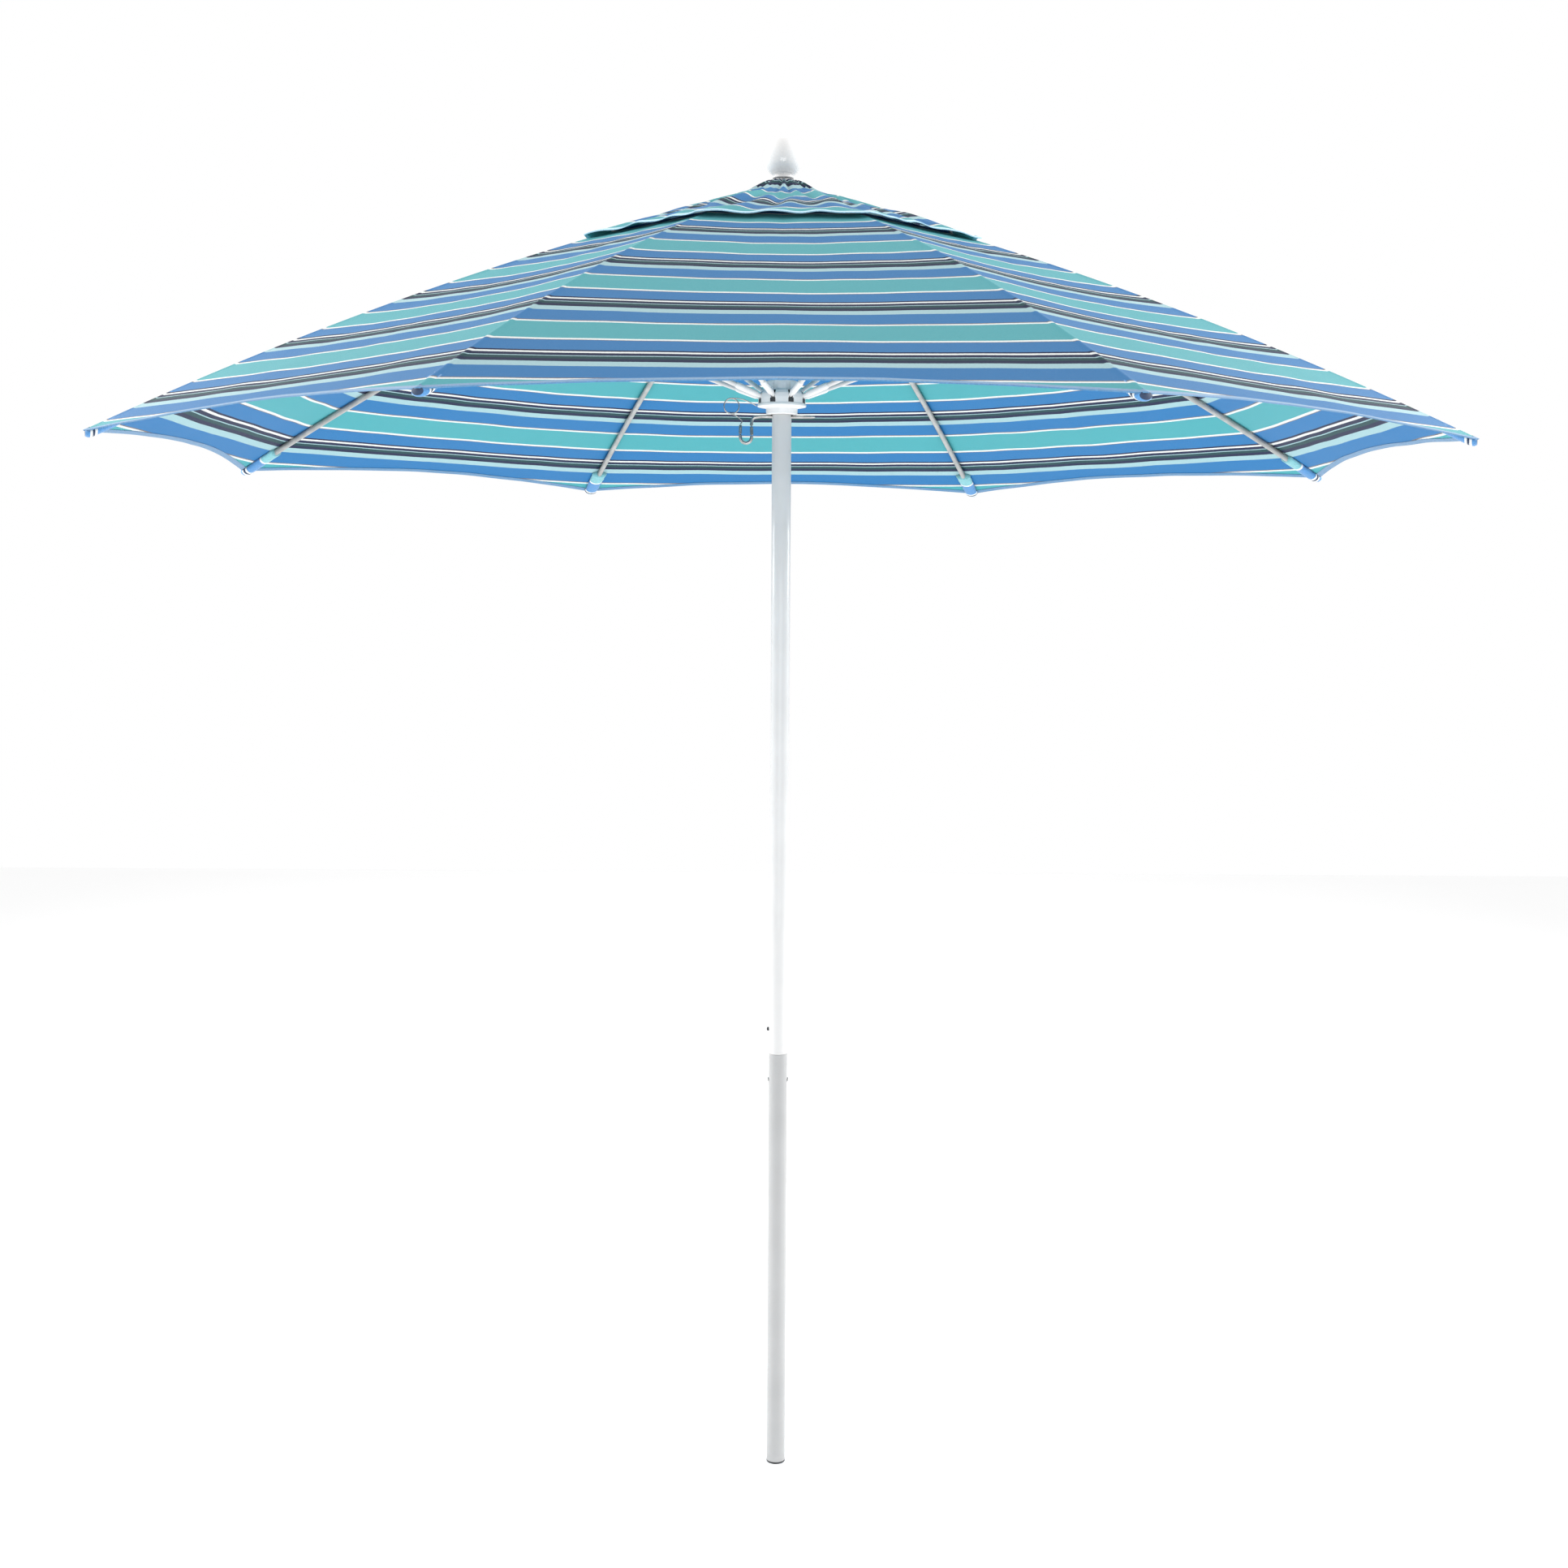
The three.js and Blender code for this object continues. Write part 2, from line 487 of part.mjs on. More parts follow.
function lanyardRoute() {
  const startZ = runnerPivotZ - RUNNER_FLANGE_DROP + RUNNER_FLANGE_HEIGHT / 2;
  const start = -RUNNER_FLANGE_RADIUS - LANYARD_RADIUS - CLEARANCE;
  const centreX = start - LANYARD_REACH;
  const centreZ = startZ - 1;
  const steps = LANYARD_TURNS * LANYARD_POINTS_PER_TURN + LANYARD_POINTS_PER_TURN / 2;
  const turns = Array.from({ length: steps + 1 }, (_, i) => {
    const angle = (Math.PI / 2) + (2 * Math.PI * i) / LANYARD_POINTS_PER_TURN;
    return [
      centreX + LANYARD_TURN_RADIUS * Math.cos(angle),
      LANYARD_TURN_STEP * (i / LANYARD_POINTS_PER_TURN - LANYARD_TURNS),
      centreZ + LANYARD_TURN_RADIUS * Math.sin(angle),
    ];
  });
  const last = -PIN_LEFT - PIN_LOOP_WIDTH;
  return [
    [start, 0, startZ], [start - 10, -1, startZ + 5], [start - 28, -5, startZ + 12], ...turns,
    [centreX + 9, 4, centreZ - 18],
    [last + 3, 3, pinZ - PIN_HOOK + PIN_RADIUS + 4], [last, 0, pinZ - PIN_HOOK + LANYARD_RADIUS + CLEARANCE],
  ];
}

// ---- cloth ----

// The middle surface of each cloth: its height over a rib, its inner and outer radius, its hem and sag.
const mainCloth = {
  height: (radius) => ribHeight(radius) + clothOverRib,
  inner: VENT_HOLE_RADIUS,
  rim: RIM_RADIUS,
  hemArc: HEM_ARC,
  sag: MID_GORE_SAG,
};
const ventCloth = {
  height(radius) {
    const share = (radius - VENT_TOP_RADIUS) / (VENT_RADIUS - VENT_TOP_RADIUS);
    return ventTopZ - (ventTopZ - ventRimZ) * (share + VENT_DISH * Math.sin(Math.PI * share));
  },
  inner: VENT_TOP_RADIUS,
  rim: VENT_RADIUS,
  hemArc: VENT_HEM_ARC,
  sag: 0,
};

// A point of the cloth at an azimuth off the rib's own. Cloth runs from rib to rib, sags between them
// and has a hem that is cut in on a curve.
function clothPoint(radius, off, cloth) {
  const share = Math.abs(off) / halfGore;
  const fromRib = 2 * share - share ** 2;
  const along = (radius - cloth.inner) / (cloth.rim - cloth.inner);
  const cut = radius - cloth.hemArc * along * fromRib;
  const reach = (cut * Math.cos(halfGore)) / Math.cos(halfGore - Math.abs(off));
  const sag = cloth.sag * 4 * along * (1 - along) * fromRib;
  return new THREE.Vector3(reach * Math.cos(off), reach * Math.sin(off), cloth.height(cut) - sag);
}

function spread(from, to, count) {
  return Array.from({ length: count + 1 }, (_, i) => from + ((to - from) * i) / count);
}

function panelSolid() {
  const shares = [-1, -0.66, -0.33, 0, 0.33, 0.66, 1];
  const radii = spread(VENT_HOLE_RADIUS, RIM_RADIUS, 9);
  const grid = (lift) => radii.map((radius) => shares.map((share) => {
    const trimmed = share * (halfGore - CLOTH_GAP / 2 / radius);
    const point = clothPoint(radius, trimmed, mainCloth);
    point.z += lift;
    return point;
  }));
  return sheetSolid(grid(CLOTH / 2), grid(-CLOTH / 2));
}

function ventSolid() {
  const radii = spread(VENT_TOP_RADIUS, VENT_RADIUS, 4);
  const perRib = 4;
  const count = RIB_COUNT * perRib;
  const positions = [];
  for (const lift of [CLOTH / 2, -CLOTH / 2]) {
    for (const radius of radii) {
      for (let i = 0; i < count; i += 1) {
        const off = ((i % perRib) / perRib) * 2 * halfGore;
        const near = off > halfGore ? off - 2 * halfGore : off;
        const flat = clothPoint(radius, near, ventCloth);
        const turn = rad(FIRST_RIB_AZIMUTH) + (Math.floor(i / perRib) + (off > halfGore ? 1 : 0)) * 2 * halfGore;
        flat.applyAxisAngle(new THREE.Vector3(0, 0, 1), turn);
        positions.push(flat.x, flat.y, flat.z + lift);
      }
    }
  }
  const at = (side, row, column) => (side * radii.length + row) * count + (column % count);
  const index = [];
  const quad = (a, b, c, d) => index.push(a, b, c, a, c, d);
  for (let i = 0; i < count; i += 1) {
    for (let row = 0; row < radii.length - 1; row += 1) {
      quad(at(0, row, i), at(0, row + 1, i), at(0, row + 1, i + 1), at(0, row, i + 1));
      quad(at(1, row, i), at(1, row, i + 1), at(1, row + 1, i + 1), at(1, row + 1, i));
    }
    const hem = radii.length - 1;
    quad(at(0, hem, i), at(1, hem, i), at(1, hem, i + 1), at(0, hem, i + 1));
    quad(at(0, 0, i + 1), at(1, 0, i + 1), at(1, 0, i), at(0, 0, i));
  }
  const geometry = new THREE.BufferGeometry();
  geometry.setAttribute('position', new THREE.Float32BufferAttribute(positions, 3));
  geometry.setIndex(index);
  return geometry;
}

function addCloth() {
  azimuths.forEach((azimuth, i) => add(`canopy_${i + 1}`, panelSolid(), materials.cloth, azimuth));
  add('vent_canopy', ventSolid(), materials.cloth);
}

addLowerPole();
addCoupler();
addSnapButton();
addUpperPole();
addCrown();
addRibsAndStruts();
addRunner();
addLockPin();
addCloth();

export default umbrella;
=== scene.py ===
"""Looks of the beach umbrella: smooth hardware, striped cloth gores, vent cap, hems and pockets.

Metres, +Z up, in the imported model's frame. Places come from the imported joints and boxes; the sizes
below are the cloth's and the fittings' own. Angles off a rib are called off, distances out from
the axis reach.
"""
import json
from math import asin, atan, atan2, cos, hypot, pi, radians, sin, tan

import bmesh
import bpy
from mathutils import Matrix, Vector, noise


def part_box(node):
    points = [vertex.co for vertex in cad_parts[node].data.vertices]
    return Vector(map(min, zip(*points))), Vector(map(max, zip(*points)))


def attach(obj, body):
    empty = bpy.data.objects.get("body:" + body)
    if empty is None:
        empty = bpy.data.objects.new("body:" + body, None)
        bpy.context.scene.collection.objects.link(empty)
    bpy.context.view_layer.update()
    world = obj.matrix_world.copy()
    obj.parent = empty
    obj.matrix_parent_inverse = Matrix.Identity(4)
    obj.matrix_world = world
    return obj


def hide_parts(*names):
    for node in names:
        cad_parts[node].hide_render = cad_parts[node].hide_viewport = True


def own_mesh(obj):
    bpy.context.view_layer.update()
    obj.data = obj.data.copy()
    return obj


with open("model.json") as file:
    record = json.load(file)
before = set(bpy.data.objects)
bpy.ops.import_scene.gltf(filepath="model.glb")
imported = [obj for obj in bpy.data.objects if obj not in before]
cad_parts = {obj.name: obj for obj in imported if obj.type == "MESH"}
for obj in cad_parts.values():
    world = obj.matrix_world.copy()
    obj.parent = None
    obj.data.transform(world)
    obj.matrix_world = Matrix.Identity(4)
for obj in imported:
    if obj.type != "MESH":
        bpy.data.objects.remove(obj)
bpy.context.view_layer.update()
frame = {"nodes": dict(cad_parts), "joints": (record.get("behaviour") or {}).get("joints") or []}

# ---- sizes and places read from the frame ----

RIBS = 8
HALF_GORE = pi / RIBS
JOINTS = {joint["name"]: joint for joint in frame["joints"]}
RIB_PIVOT = Vector(JOINTS["rib_1_fold"]["pos_m"])
BRACKET_PIVOT = Vector(JOINTS["strut_1_turn"]["pos_m"])
RUNNER_PIVOT = Vector(JOINTS["runner_travel"]["pos_m"])
AZIMUTHS = [atan2(JOINTS[f"rib_{i + 1}_fold"]["pos_m"][1], JOINTS[f"rib_{i + 1}_fold"]["pos_m"][0])
            for i in range(RIBS)]


def reach_of(point):
    return hypot(point[0], point[1])


def low(node):
    return Vector(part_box(node)[0])


def high(node):
    return Vector(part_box(node)[1])


PIVOT_REACH = reach_of(RIB_PIVOT)
CROWN_Z = RIB_PIVOT.z
BRACKET_REACH = reach_of(BRACKET_PIVOT)
BRACKET_Z = BRACKET_PIVOT.z
RUNNER_Z = RUNNER_PIVOT.z
POLE_RADIUS = high("upper_pole").x
LOWER_RADIUS = high("lower_pole").x
JOINT_Z = low("upper_pole").z
POLE_TOP = high("upper_pole").z
BUTTON_Z = (low("snap_button").z + high("snap_button").z) / 2
RIVET_Z = (low("coupler_rivet").z + high("coupler_rivet").z) / 2
PIN_RADIUS = high("lock_pin").y
PIN_Z = high("lock_pin").z - PIN_RADIUS

RIB_RADIUS = 0.006
RIB_ROOT = 0.022
RIB_ABOVE_PIVOT = 0.016
STRUT_RADIUS = 0.00475
RIM_REACH = 1.311
RIM_Z = low("canopy_1").z + 0.0015
CLOTH_LIFT = 0.0085              # cloth's middle over the rib's axis
VENT_HOLE_REACH = 0.300
VENT_REACH = 0.407
VENT_RIM_Z = low("vent_canopy").z + 0.0015
VENT_TOP_REACH = 0.024
VENT_TOP_Z = high("vent_canopy").z - 0.0015
HEM_ARC = 0.038
MID_GORE_SAG = 0.008
VENT_HEM_ARC = 0.012
CLOTH = 0.0009                   # thickness of the cloth shown
STRIPE_PERIOD = 0.235


def in_plane(azimuth, reach, z, side=0.0):
    """A point at a reach and height in the vertical plane of a rib, or to its side."""
    return Vector((reach * cos(azimuth) - side * sin(azimuth),
                   reach * sin(azimuth) + side * cos(azimuth), z))


RIB_MIDDLE_Z = BRACKET_Z + RIB_ABOVE_PIVOT
RIB_TIP_REACH = RIM_REACH - 0.006
RIB_TIP_Z = RIM_Z - CLOTH_LIFT
SLOPE_IN = (CROWN_Z - RIB_MIDDLE_Z) / (BRACKET_REACH - PIVOT_REACH)
SLOPE_OUT = (RIB_MIDDLE_Z - RIB_TIP_Z) / (RIB_TIP_REACH - BRACKET_REACH)


BOW = (SLOPE_OUT - SLOPE_IN) / (RIB_TIP_REACH - PIVOT_REACH)
CLAMP_TILT = atan(SLOPE_IN + BOW * (BRACKET_REACH - PIVOT_REACH))


def rib_z(reach):
    """Height of a rib's axis: one bow from the crown over the bracket to the rim."""
    run = reach - PIVOT_REACH
    return CROWN_Z - SLOPE_IN * run - BOW * run * (reach - BRACKET_REACH)


# ---- scene ----

def set_camera():
    data = bpy.data.cameras.new("camera")
    data.sensor_width = 36.0
    data.lens = 36.0 * 1.2427
    data.dof.use_dof = False
    camera = bpy.data.objects.new("camera", data)
    pitch, yaw, roll = radians(5.26), radians(-0.13), radians(0.35)
    turn = (Matrix.Rotation(yaw, 4, "Z") @ Matrix.Rotation(pi / 2 - pitch, 4, "X")
            @ Matrix.Rotation(roll, 4, "Z"))
    camera.matrix_world = Matrix.Translation((0.0, -3.927, 1.781)) @ turn
    bpy.context.collection.objects.link(camera)
    bpy.context.scene.camera = camera


def area_light(name, place, aim, size, power, colour=(1.0, 1.0, 1.0)):
    data = bpy.data.lights.new(name, "AREA")
    data.shape = "RECTANGLE"
    data.size, data.size_y = size
    data.energy = power
    data.color = colour
    light = bpy.data.objects.new(name, data)
    light.location = place
    light.rotation_euler = (Vector(aim) - Vector(place)).to_track_quat("-Z", "Y").to_euler()
    bpy.context.collection.objects.link(light)


WORLD_LIGHT = 1.0


def set_stage():
    world = bpy.data.worlds.new("studio")
    world.use_nodes = True
    background = world.node_tree.nodes["Background"]
    background.inputs["Color"].default_value = (1.0, 1.0, 1.0, 1.0)
    background.inputs["Strength"].default_value = WORLD_LIGHT
    bpy.context.scene.world = world
    bpy.context.scene.view_settings.view_transform = "Standard"

    area_light("front", (0.0, -3.3, 1.5), (0, 0, 2.2), (2.0, 1.6), 30)
    area_light("left", (-4.6, 0.9, 3.7), (-0.6, 0, 2.2), (2.4, 3.2), 290)
    area_light("right", (4.6, 0.9, 3.7), (0.6, 0, 2.2), (2.4, 3.2), 310)

    mesh = bpy.data.meshes.new("floor")
    half = 9.0
    mesh.from_pydata([(-half, -half, 0), (half, -half, 0), (half, half, 0), (-half, half, 0)], [],
                     [(0, 1, 2, 3)])
    floor = bpy.data.objects.new("floor", mesh)
    floor.location.z = -0.0005
    bpy.context.collection.objects.link(floor)
    paint = bpy.data.materials.new("floor")
    paint.use_nodes = True
    shader = paint.node_tree.nodes["Principled BSDF"]
    shader.inputs["Base Color"].default_value = (0.93, 0.93, 0.93, 1)
    shader.inputs["Roughness"].default_value = 0.7
    mesh.materials.append(paint)


# ---- materials ----

def new_material(name, roughness, metallic=0.0, coat=0.0, sheen=0.0, ior=1.5):
    material = bpy.data.materials.new(name)
    material.use_nodes = True
    tree = material.node_tree
    shader = tree.nodes["Principled BSDF"]
    shader.inputs["Roughness"].default_value = roughness
    shader.inputs["Metallic"].default_value = metallic
    shader.inputs["Coat Weight"].default_value = coat
    shader.inputs["Sheen Weight"].default_value = sheen
    shader.inputs["IOR"].default_value = ior
    return material, tree, shader


def node(tree, kind, **values):
    made = tree.nodes.new(kind)
    for key, value in values.items():
        if hasattr(made, key):
            setattr(made, key, value)
        else:
            made.inputs[key].default_value = value
    return made


def speckled(name, dark, light, roughness, scale, bump_depth, bump_scale, **looks):
    """A surface that varies between two colours, with a fine bump and an uneven gloss."""
    material, tree, shader = new_material(name, roughness, **looks)
    place = node(tree, "ShaderNodeTexCoord")
    patches = node(tree, "ShaderNodeTexNoise", Scale=scale, Detail=6.0)
    tree.links.new(place.outputs["Object"], patches.inputs["Vector"])
    ramp = node(tree, "ShaderNodeValToRGB")
    ramp.color_ramp.elements[0].position = 0.32
    ramp.color_ramp.elements[0].color = (*dark, 1)
    ramp.color_ramp.elements[1].position = 0.68
    ramp.color_ramp.elements[1].color = (*light, 1)
    tree.links.new(patches.outputs["Fac"], ramp.inputs["Fac"])
    tree.links.new(ramp.outputs["Color"], shader.inputs["Base Color"])
    gloss = node(tree, "ShaderNodeMapRange")
    gloss.inputs["To Min"].default_value = roughness * 0.85
    gloss.inputs["To Max"].default_value = roughness * 1.2
    tree.links.new(patches.outputs["Fac"], gloss.inputs["Value"])
    tree.links.new(gloss.outputs["Result"], shader.inputs["Roughness"])
    grain = node(tree, "ShaderNodeTexNoise", Scale=bump_scale, Detail=3.0)
    tree.links.new(place.outputs["Object"], grain.inputs["Vector"])
    bump = node(tree, "ShaderNodeBump", Strength=0.35, Distance=bump_depth)
    tree.links.new(grain.outputs["Fac"], bump.inputs["Height"])
    tree.links.new(bump.outputs["Normal"], shader.inputs["Normal"])
    return material


BLUE = (0.034, 0.155, 0.350)
SAGE = (0.31, 0.47, 0.50)
NAVY = (0.008, 0.014, 0.048)
GREEN = (0.010, 0.048, 0.055)
WHITE = (0.66, 0.69, 0.68)
TEAL = (0.078, 0.315, 0.350)
TAUPE = (0.16, 0.14, 0.14)

# The woven stripes from the rim inwards, each with its share of the repeat.
STRIPES = [
    (BLUE, 0.160), (SAGE, 0.078), (NAVY, 0.047), (GREEN, 0.042), (SAGE, 0.012), (NAVY, 0.040),
    (WHITE, 0.028), (NAVY, 0.026), (BLUE, 0.169), (TAUPE, 0.008), (WHITE, 0.030), (TEAL, 0.292),
    (WHITE, 0.024),
    (TAUPE, 0.010), (BLUE, 0.034),
]


def striped_cloth(name, backlight_deepen=1.0, lift=0.0, painted_glow=0.0):
    """Woven stripes laid by the UV map: u metres along the stripes and v metres in from the rim."""
    material, tree, shader = new_material(name, 0.62)
    shader.inputs["Specular IOR Level"].default_value = 0.22
    uv = node(tree, "ShaderNodeUVMap", uv_map="cloth")
    split = node(tree, "ShaderNodeSeparateXYZ")
    tree.links.new(uv.outputs["UV"], split.inputs["Vector"])

    wander = node(tree, "ShaderNodeTexNoise", Scale=420.0, Detail=1.0)
    tree.links.new(uv.outputs["UV"], wander.inputs["Vector"])
    shift = node(tree, "ShaderNodeMath", operation="MULTIPLY_ADD")
    shift.inputs[1].default_value = 0.0012
    tree.links.new(wander.outputs["Fac"], shift.inputs[0])
    tree.links.new(split.outputs["Y"], shift.inputs[2])
    repeat = node(tree, "ShaderNodeMath", operation="DIVIDE")
    repeat.inputs[1].default_value = STRIPE_PERIOD
    tree.links.new(shift.outputs["Value"], repeat.inputs[0])
    share = node(tree, "ShaderNodeMath", operation="FRACT")
    tree.links.new(repeat.outputs["Value"], share.inputs[0])
    ramp = node(tree, "ShaderNodeValToRGB")
    ramp.color_ramp.interpolation = "CONSTANT"
    start = 0.0
    for i, (colour, width) in enumerate(STRIPES):
        stop = ramp.color_ramp.elements[0] if i == 0 else ramp.color_ramp.elements.new(start)
        if i == 0:
            spare = ramp.color_ramp.elements[-1]
            ramp.color_ramp.elements.remove(spare)
        # painted light: the underside copy deepens the stripe colours, standing in for light shining
        # through the cloth
        grey = sum(colour) / 3
        shown = [max(0.0, min(1.0, (grey + (c - grey) * backlight_deepen) + lift)) for c in colour]
        stop.color = (*shown, 1)
        start += width
    tree.links.new(share.outputs["Value"], ramp.inputs["Fac"])

    # yarns of slightly different shades, crosswise threads and faint soiling
    threads = node(tree, "ShaderNodeMapping")
    threads.inputs["Scale"].default_value = (260.0, 1500.0, 1.0)
    tree.links.new(uv.outputs["UV"], threads.inputs["Vector"])
    yarn = node(tree, "ShaderNodeTexNoise", Scale=1.0, Detail=4.0, Roughness=0.7)
    tree.links.new(threads.outputs["Vector"], yarn.inputs["Vector"])
    tone = node(tree, "ShaderNodeMapRange")
    tone.inputs["To Min"].default_value = 0.74
    tone.inputs["To Max"].default_value = 1.26
    tree.links.new(yarn.outputs["Fac"], tone.inputs["Value"])
    mixed = node(tree, "ShaderNodeMix", data_type="RGBA", blend_type="MULTIPLY")
    mixed.inputs["Factor"].default_value = 1.0
    tree.links.new(ramp.outputs["Color"], mixed.inputs["A"])
    tree.links.new(tone.outputs["Result"], mixed.inputs["B"])
    tree.links.new(mixed.outputs["Result"], shader.inputs["Base Color"])
    # painted glow: the underside copy emits a little of its own colour, standing in for light shining
    # through the cloth
    if painted_glow:
        tree.links.new(mixed.outputs["Result"], shader.inputs["Emission Color"])
        shader.inputs["Emission Strength"].default_value = painted_glow

    weave = node(tree, "ShaderNodeMapping")
    weave.inputs["Scale"].default_value = (1100.0, 1100.0, 1.0)
    tree.links.new(uv.outputs["UV"], weave.inputs["Vector"])
    checks = node(tree, "ShaderNodeTexChecker", Scale=1.0)
    tree.links.new(weave.outputs["Vector"], checks.inputs["Vector"])
    height = node(tree, "ShaderNodeMath", operation="ADD")
    tree.links.new(checks.outputs["Fac"], height.inputs[0])
    tree.links.new(yarn.outputs["Fac"], height.inputs[1])
    bump = node(tree, "ShaderNodeBump", Strength=0.4, Distance=0.0004)
    tree.links.new(height.outputs["Value"], bump.inputs["Height"])
    tree.links.new(bump.outputs["Normal"], shader.inputs["Normal"])
    return material


def plain_cloth(name, colour, roughness=0.85):
    dark = [c * 0.8 for c in colour]
    light = [min(1.0, c * 1.15) for c in colour]
    return speckled(name, dark, light, roughness, 380.0, 0.0003, 1600.0, sheen=0.25)


# painted shade: a darker copy of the same powder coat as the upper pole, for the lower tube
PAINT_LOWER_PAINTED_SHADE = speckled("powder_coat_lower_pole_painted_shade", (0.36, 0.36, 0.36), (0.40, 0.40, 0.40), 0.4, 9.0,
                      0.00006, 900.0)
PAINT = speckled("powder_coat", (0.56, 0.555, 0.55), (0.61, 0.605, 0.60), 0.36, 9.0, 0.00006,
                 900.0, coat=0.25)
PLASTIC = speckled("white_plastic", (0.70, 0.70, 0.70), (0.76, 0.76, 0.755), 0.32, 30.0, 0.00005,
                   500.0, coat=0.2)
BALL_GLOSS = speckled("glossy_white", (0.66, 0.655, 0.65), (0.70, 0.695, 0.69), 0.16, 12.0,
                      0.00002, 300.0, coat=0.5)
DARK = speckled("dark_plastic", (0.012, 0.013, 0.015), (0.035, 0.036, 0.04), 0.5, 60.0, 0.0001,
                900.0)
STEEL = speckled("plated_wire", (0.24, 0.24, 0.235), (0.46, 0.46, 0.45), 0.24, 70.0, 0.00005,
                 1200.0, metallic=1.0)
GLASSFIBRE = speckled("grey_rod", (0.27, 0.275, 0.27), (0.38, 0.385, 0.375), 0.38, 45.0, 0.00006,
                      1400.0, coat=0.3)
CLOTH_TOP = striped_cloth("striped_cloth")
# painted light: the underside is a deeper, faintly glowing copy of the stripes, standing in for light
# shining through the cloth
CLOTH_UNDER_PAINTED_BACKLIGHT = striped_cloth("striped_cloth_underside_painted_backlight", backlight_deepen=1.12, lift=0.0, painted_glow=0.04)
HEM_CLOTH = plain_cloth("hem_cloth", (0.075, 0.20, 0.36))
VENT_HEM_CLOTH = plain_cloth("vent_hem_cloth", (0.36, 0.58, 0.72))
POCKET_TEAL = plain_cloth("pocket_teal", (0.19, 0.46, 0.50))
POCKET_WHITE = plain_cloth("pocket_white", (0.72, 0.74, 0.73))
POCKET_BLUE = plain_cloth("pocket_blue", (0.075, 0.24, 0.50))
POCKET_NAVY = plain_cloth("pocket_navy", (0.02, 0.04, 0.09))


# ---- mesh helpers ----

def add_mesh(name, vertices, faces, material, body, smooth=True):
    mesh = bpy.data.meshes.new(name)
    mesh.from_pydata([tuple(v) for v in vertices], [], faces)
    mesh.validate()
    for polygon in mesh.polygons:
        polygon.use_smooth = smooth
    mesh.materials.append(material)
    piece = bpy.data.objects.new(name, mesh)
    bpy.context.collection.objects.link(piece)
    face_outwards(piece)
    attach(piece, body)
    return piece


def face_outwards(piece):
    shape = bmesh.new()
    shape.from_mesh(piece.data)
    bmesh.ops.recalc_face_normals(shape, faces=shape.faces)
    shape.to_mesh(piece.data)
    shape.free()


def sharp_edges(piece, angle=35.0):
    """Marks the edges that turn more than the angle as sharp: flats stay flat in shading."""
    shape = bmesh.new()
    shape.from_mesh(piece.data)
    for edge in shape.edges:
        if len(edge.link_faces) == 2 and edge.calc_face_angle(0.0) > radians(angle):
            edge.smooth = False
    shape.to_mesh(piece.data)
    shape.free()


def rounded(profile, radius, steps=3):
    """The profile with each inner corner replaced by a short arc."""
    out = [profile[0]]
    for before, corner, after in zip(profile, profile[1:], profile[2:]):
        a, b, c = Vector(before), Vector(corner), Vector(after)
        cut = min(radius, (a - b).length * 0.45, (c - b).length * 0.45)
        start, end = b + (a - b).normalized() * cut, b + (c - b).normalized() * cut
        for k in range(steps + 1):
            t = k / steps
            out.append(tuple((1 - t) ** 2 * start + 2 * t * (1 - t) * b + t * t * end))
    out.append(profile[-1])
    return out


def turned(name, profile, material, body, segments=72, centre=(0.0, 0.0), radius=0.0008,
           closed=False):
    """A solid of revolution about the vertical from (radius, height) points."""
    points = rounded(profile, radius) if radius else list(profile)
    vertices, faces, rings = [], [], []
    for reach, z in points:
        if reach < 1e-6:
            rings.append([len(vertices)])
            vertices.append((centre[0], centre[1], z))
            continue
        rings.append(list(range(len(vertices), len(vertices) + segments)))
        vertices += [(centre[0] + reach * cos(2 * pi * k / segments),
                      centre[1] + reach * sin(2 * pi * k / segments), z) for k in range(segments)]
    pairs = list(zip(rings, rings[1:])) + ([(rings[-1], rings[0])] if closed else [])
    for one, two in pairs:
        for k in range(segments):
            n = (k + 1) % segments
            if len(one) == 1 and len(two) == 1:
                continue
            if len(one) == 1:
                faces.append((one[0], two[k], two[n]))
            elif len(two) == 1:
                faces.append((one[k], one[n], two[0]))
            else:
                faces.append((one[k], one[n], two[n], two[k]))
    piece = add_mesh(name, vertices, faces, material, body)
    sharp_edges(piece)
    return piece


def tube_mesh(points, radii, sides=16, flatten=1.0):
    """Vertices and faces of a round tube through the points, with closed ends."""
    vertices, faces = [], []
    count = len(points)
    for i, point in enumerate(points):
        ahead = (points[min(i + 1, count - 1)] - points[max(i - 1, 0)]).normalized()
        side = ahead.cross(Vector((0, 0, 1)))
        if side.length <= 1e-4:
            side = Vector((1, 0, 0)).cross(ahead)
        side = side.normalized()
        up = side.cross(ahead)
        radius = radii[i] if hasattr(radii, "__len__") else radii
        vertices += [point + side * radius * cos(2 * pi * k / sides)
                     + up * radius * flatten * sin(2 * pi * k / sides) for k in range(sides)]
    for i in range(count - 1):
        for k in range(sides):
            n = (k + 1) % sides
            faces.append((i * sides + k, i * sides + n, (i + 1) * sides + n, (i + 1) * sides + k))
    faces.append(tuple(range(sides)))
    faces.append(tuple(range((count - 1) * sides, count * sides)))
    return vertices, faces


def boolean(piece, cutters, operation="DIFFERENCE"):
    """Cuts the pieces out of one, or joins them to it, and removes them."""
    for cutter in cutters:
        modifier = piece.modifiers.new("cut", "BOOLEAN")
        modifier.operation = operation
        modifier.solver = "EXACT"
        modifier.object = cutter
    apply_modifiers(piece)
    for cutter in cutters:
        bpy.data.objects.remove(cutter, do_unlink=True)


def apply_modifiers(piece):
    graph = bpy.context.evaluated_depsgraph_get()
    mesh = bpy.data.meshes.new_from_object(piece.evaluated_get(graph))
    piece.modifiers.clear()
    piece.data = mesh


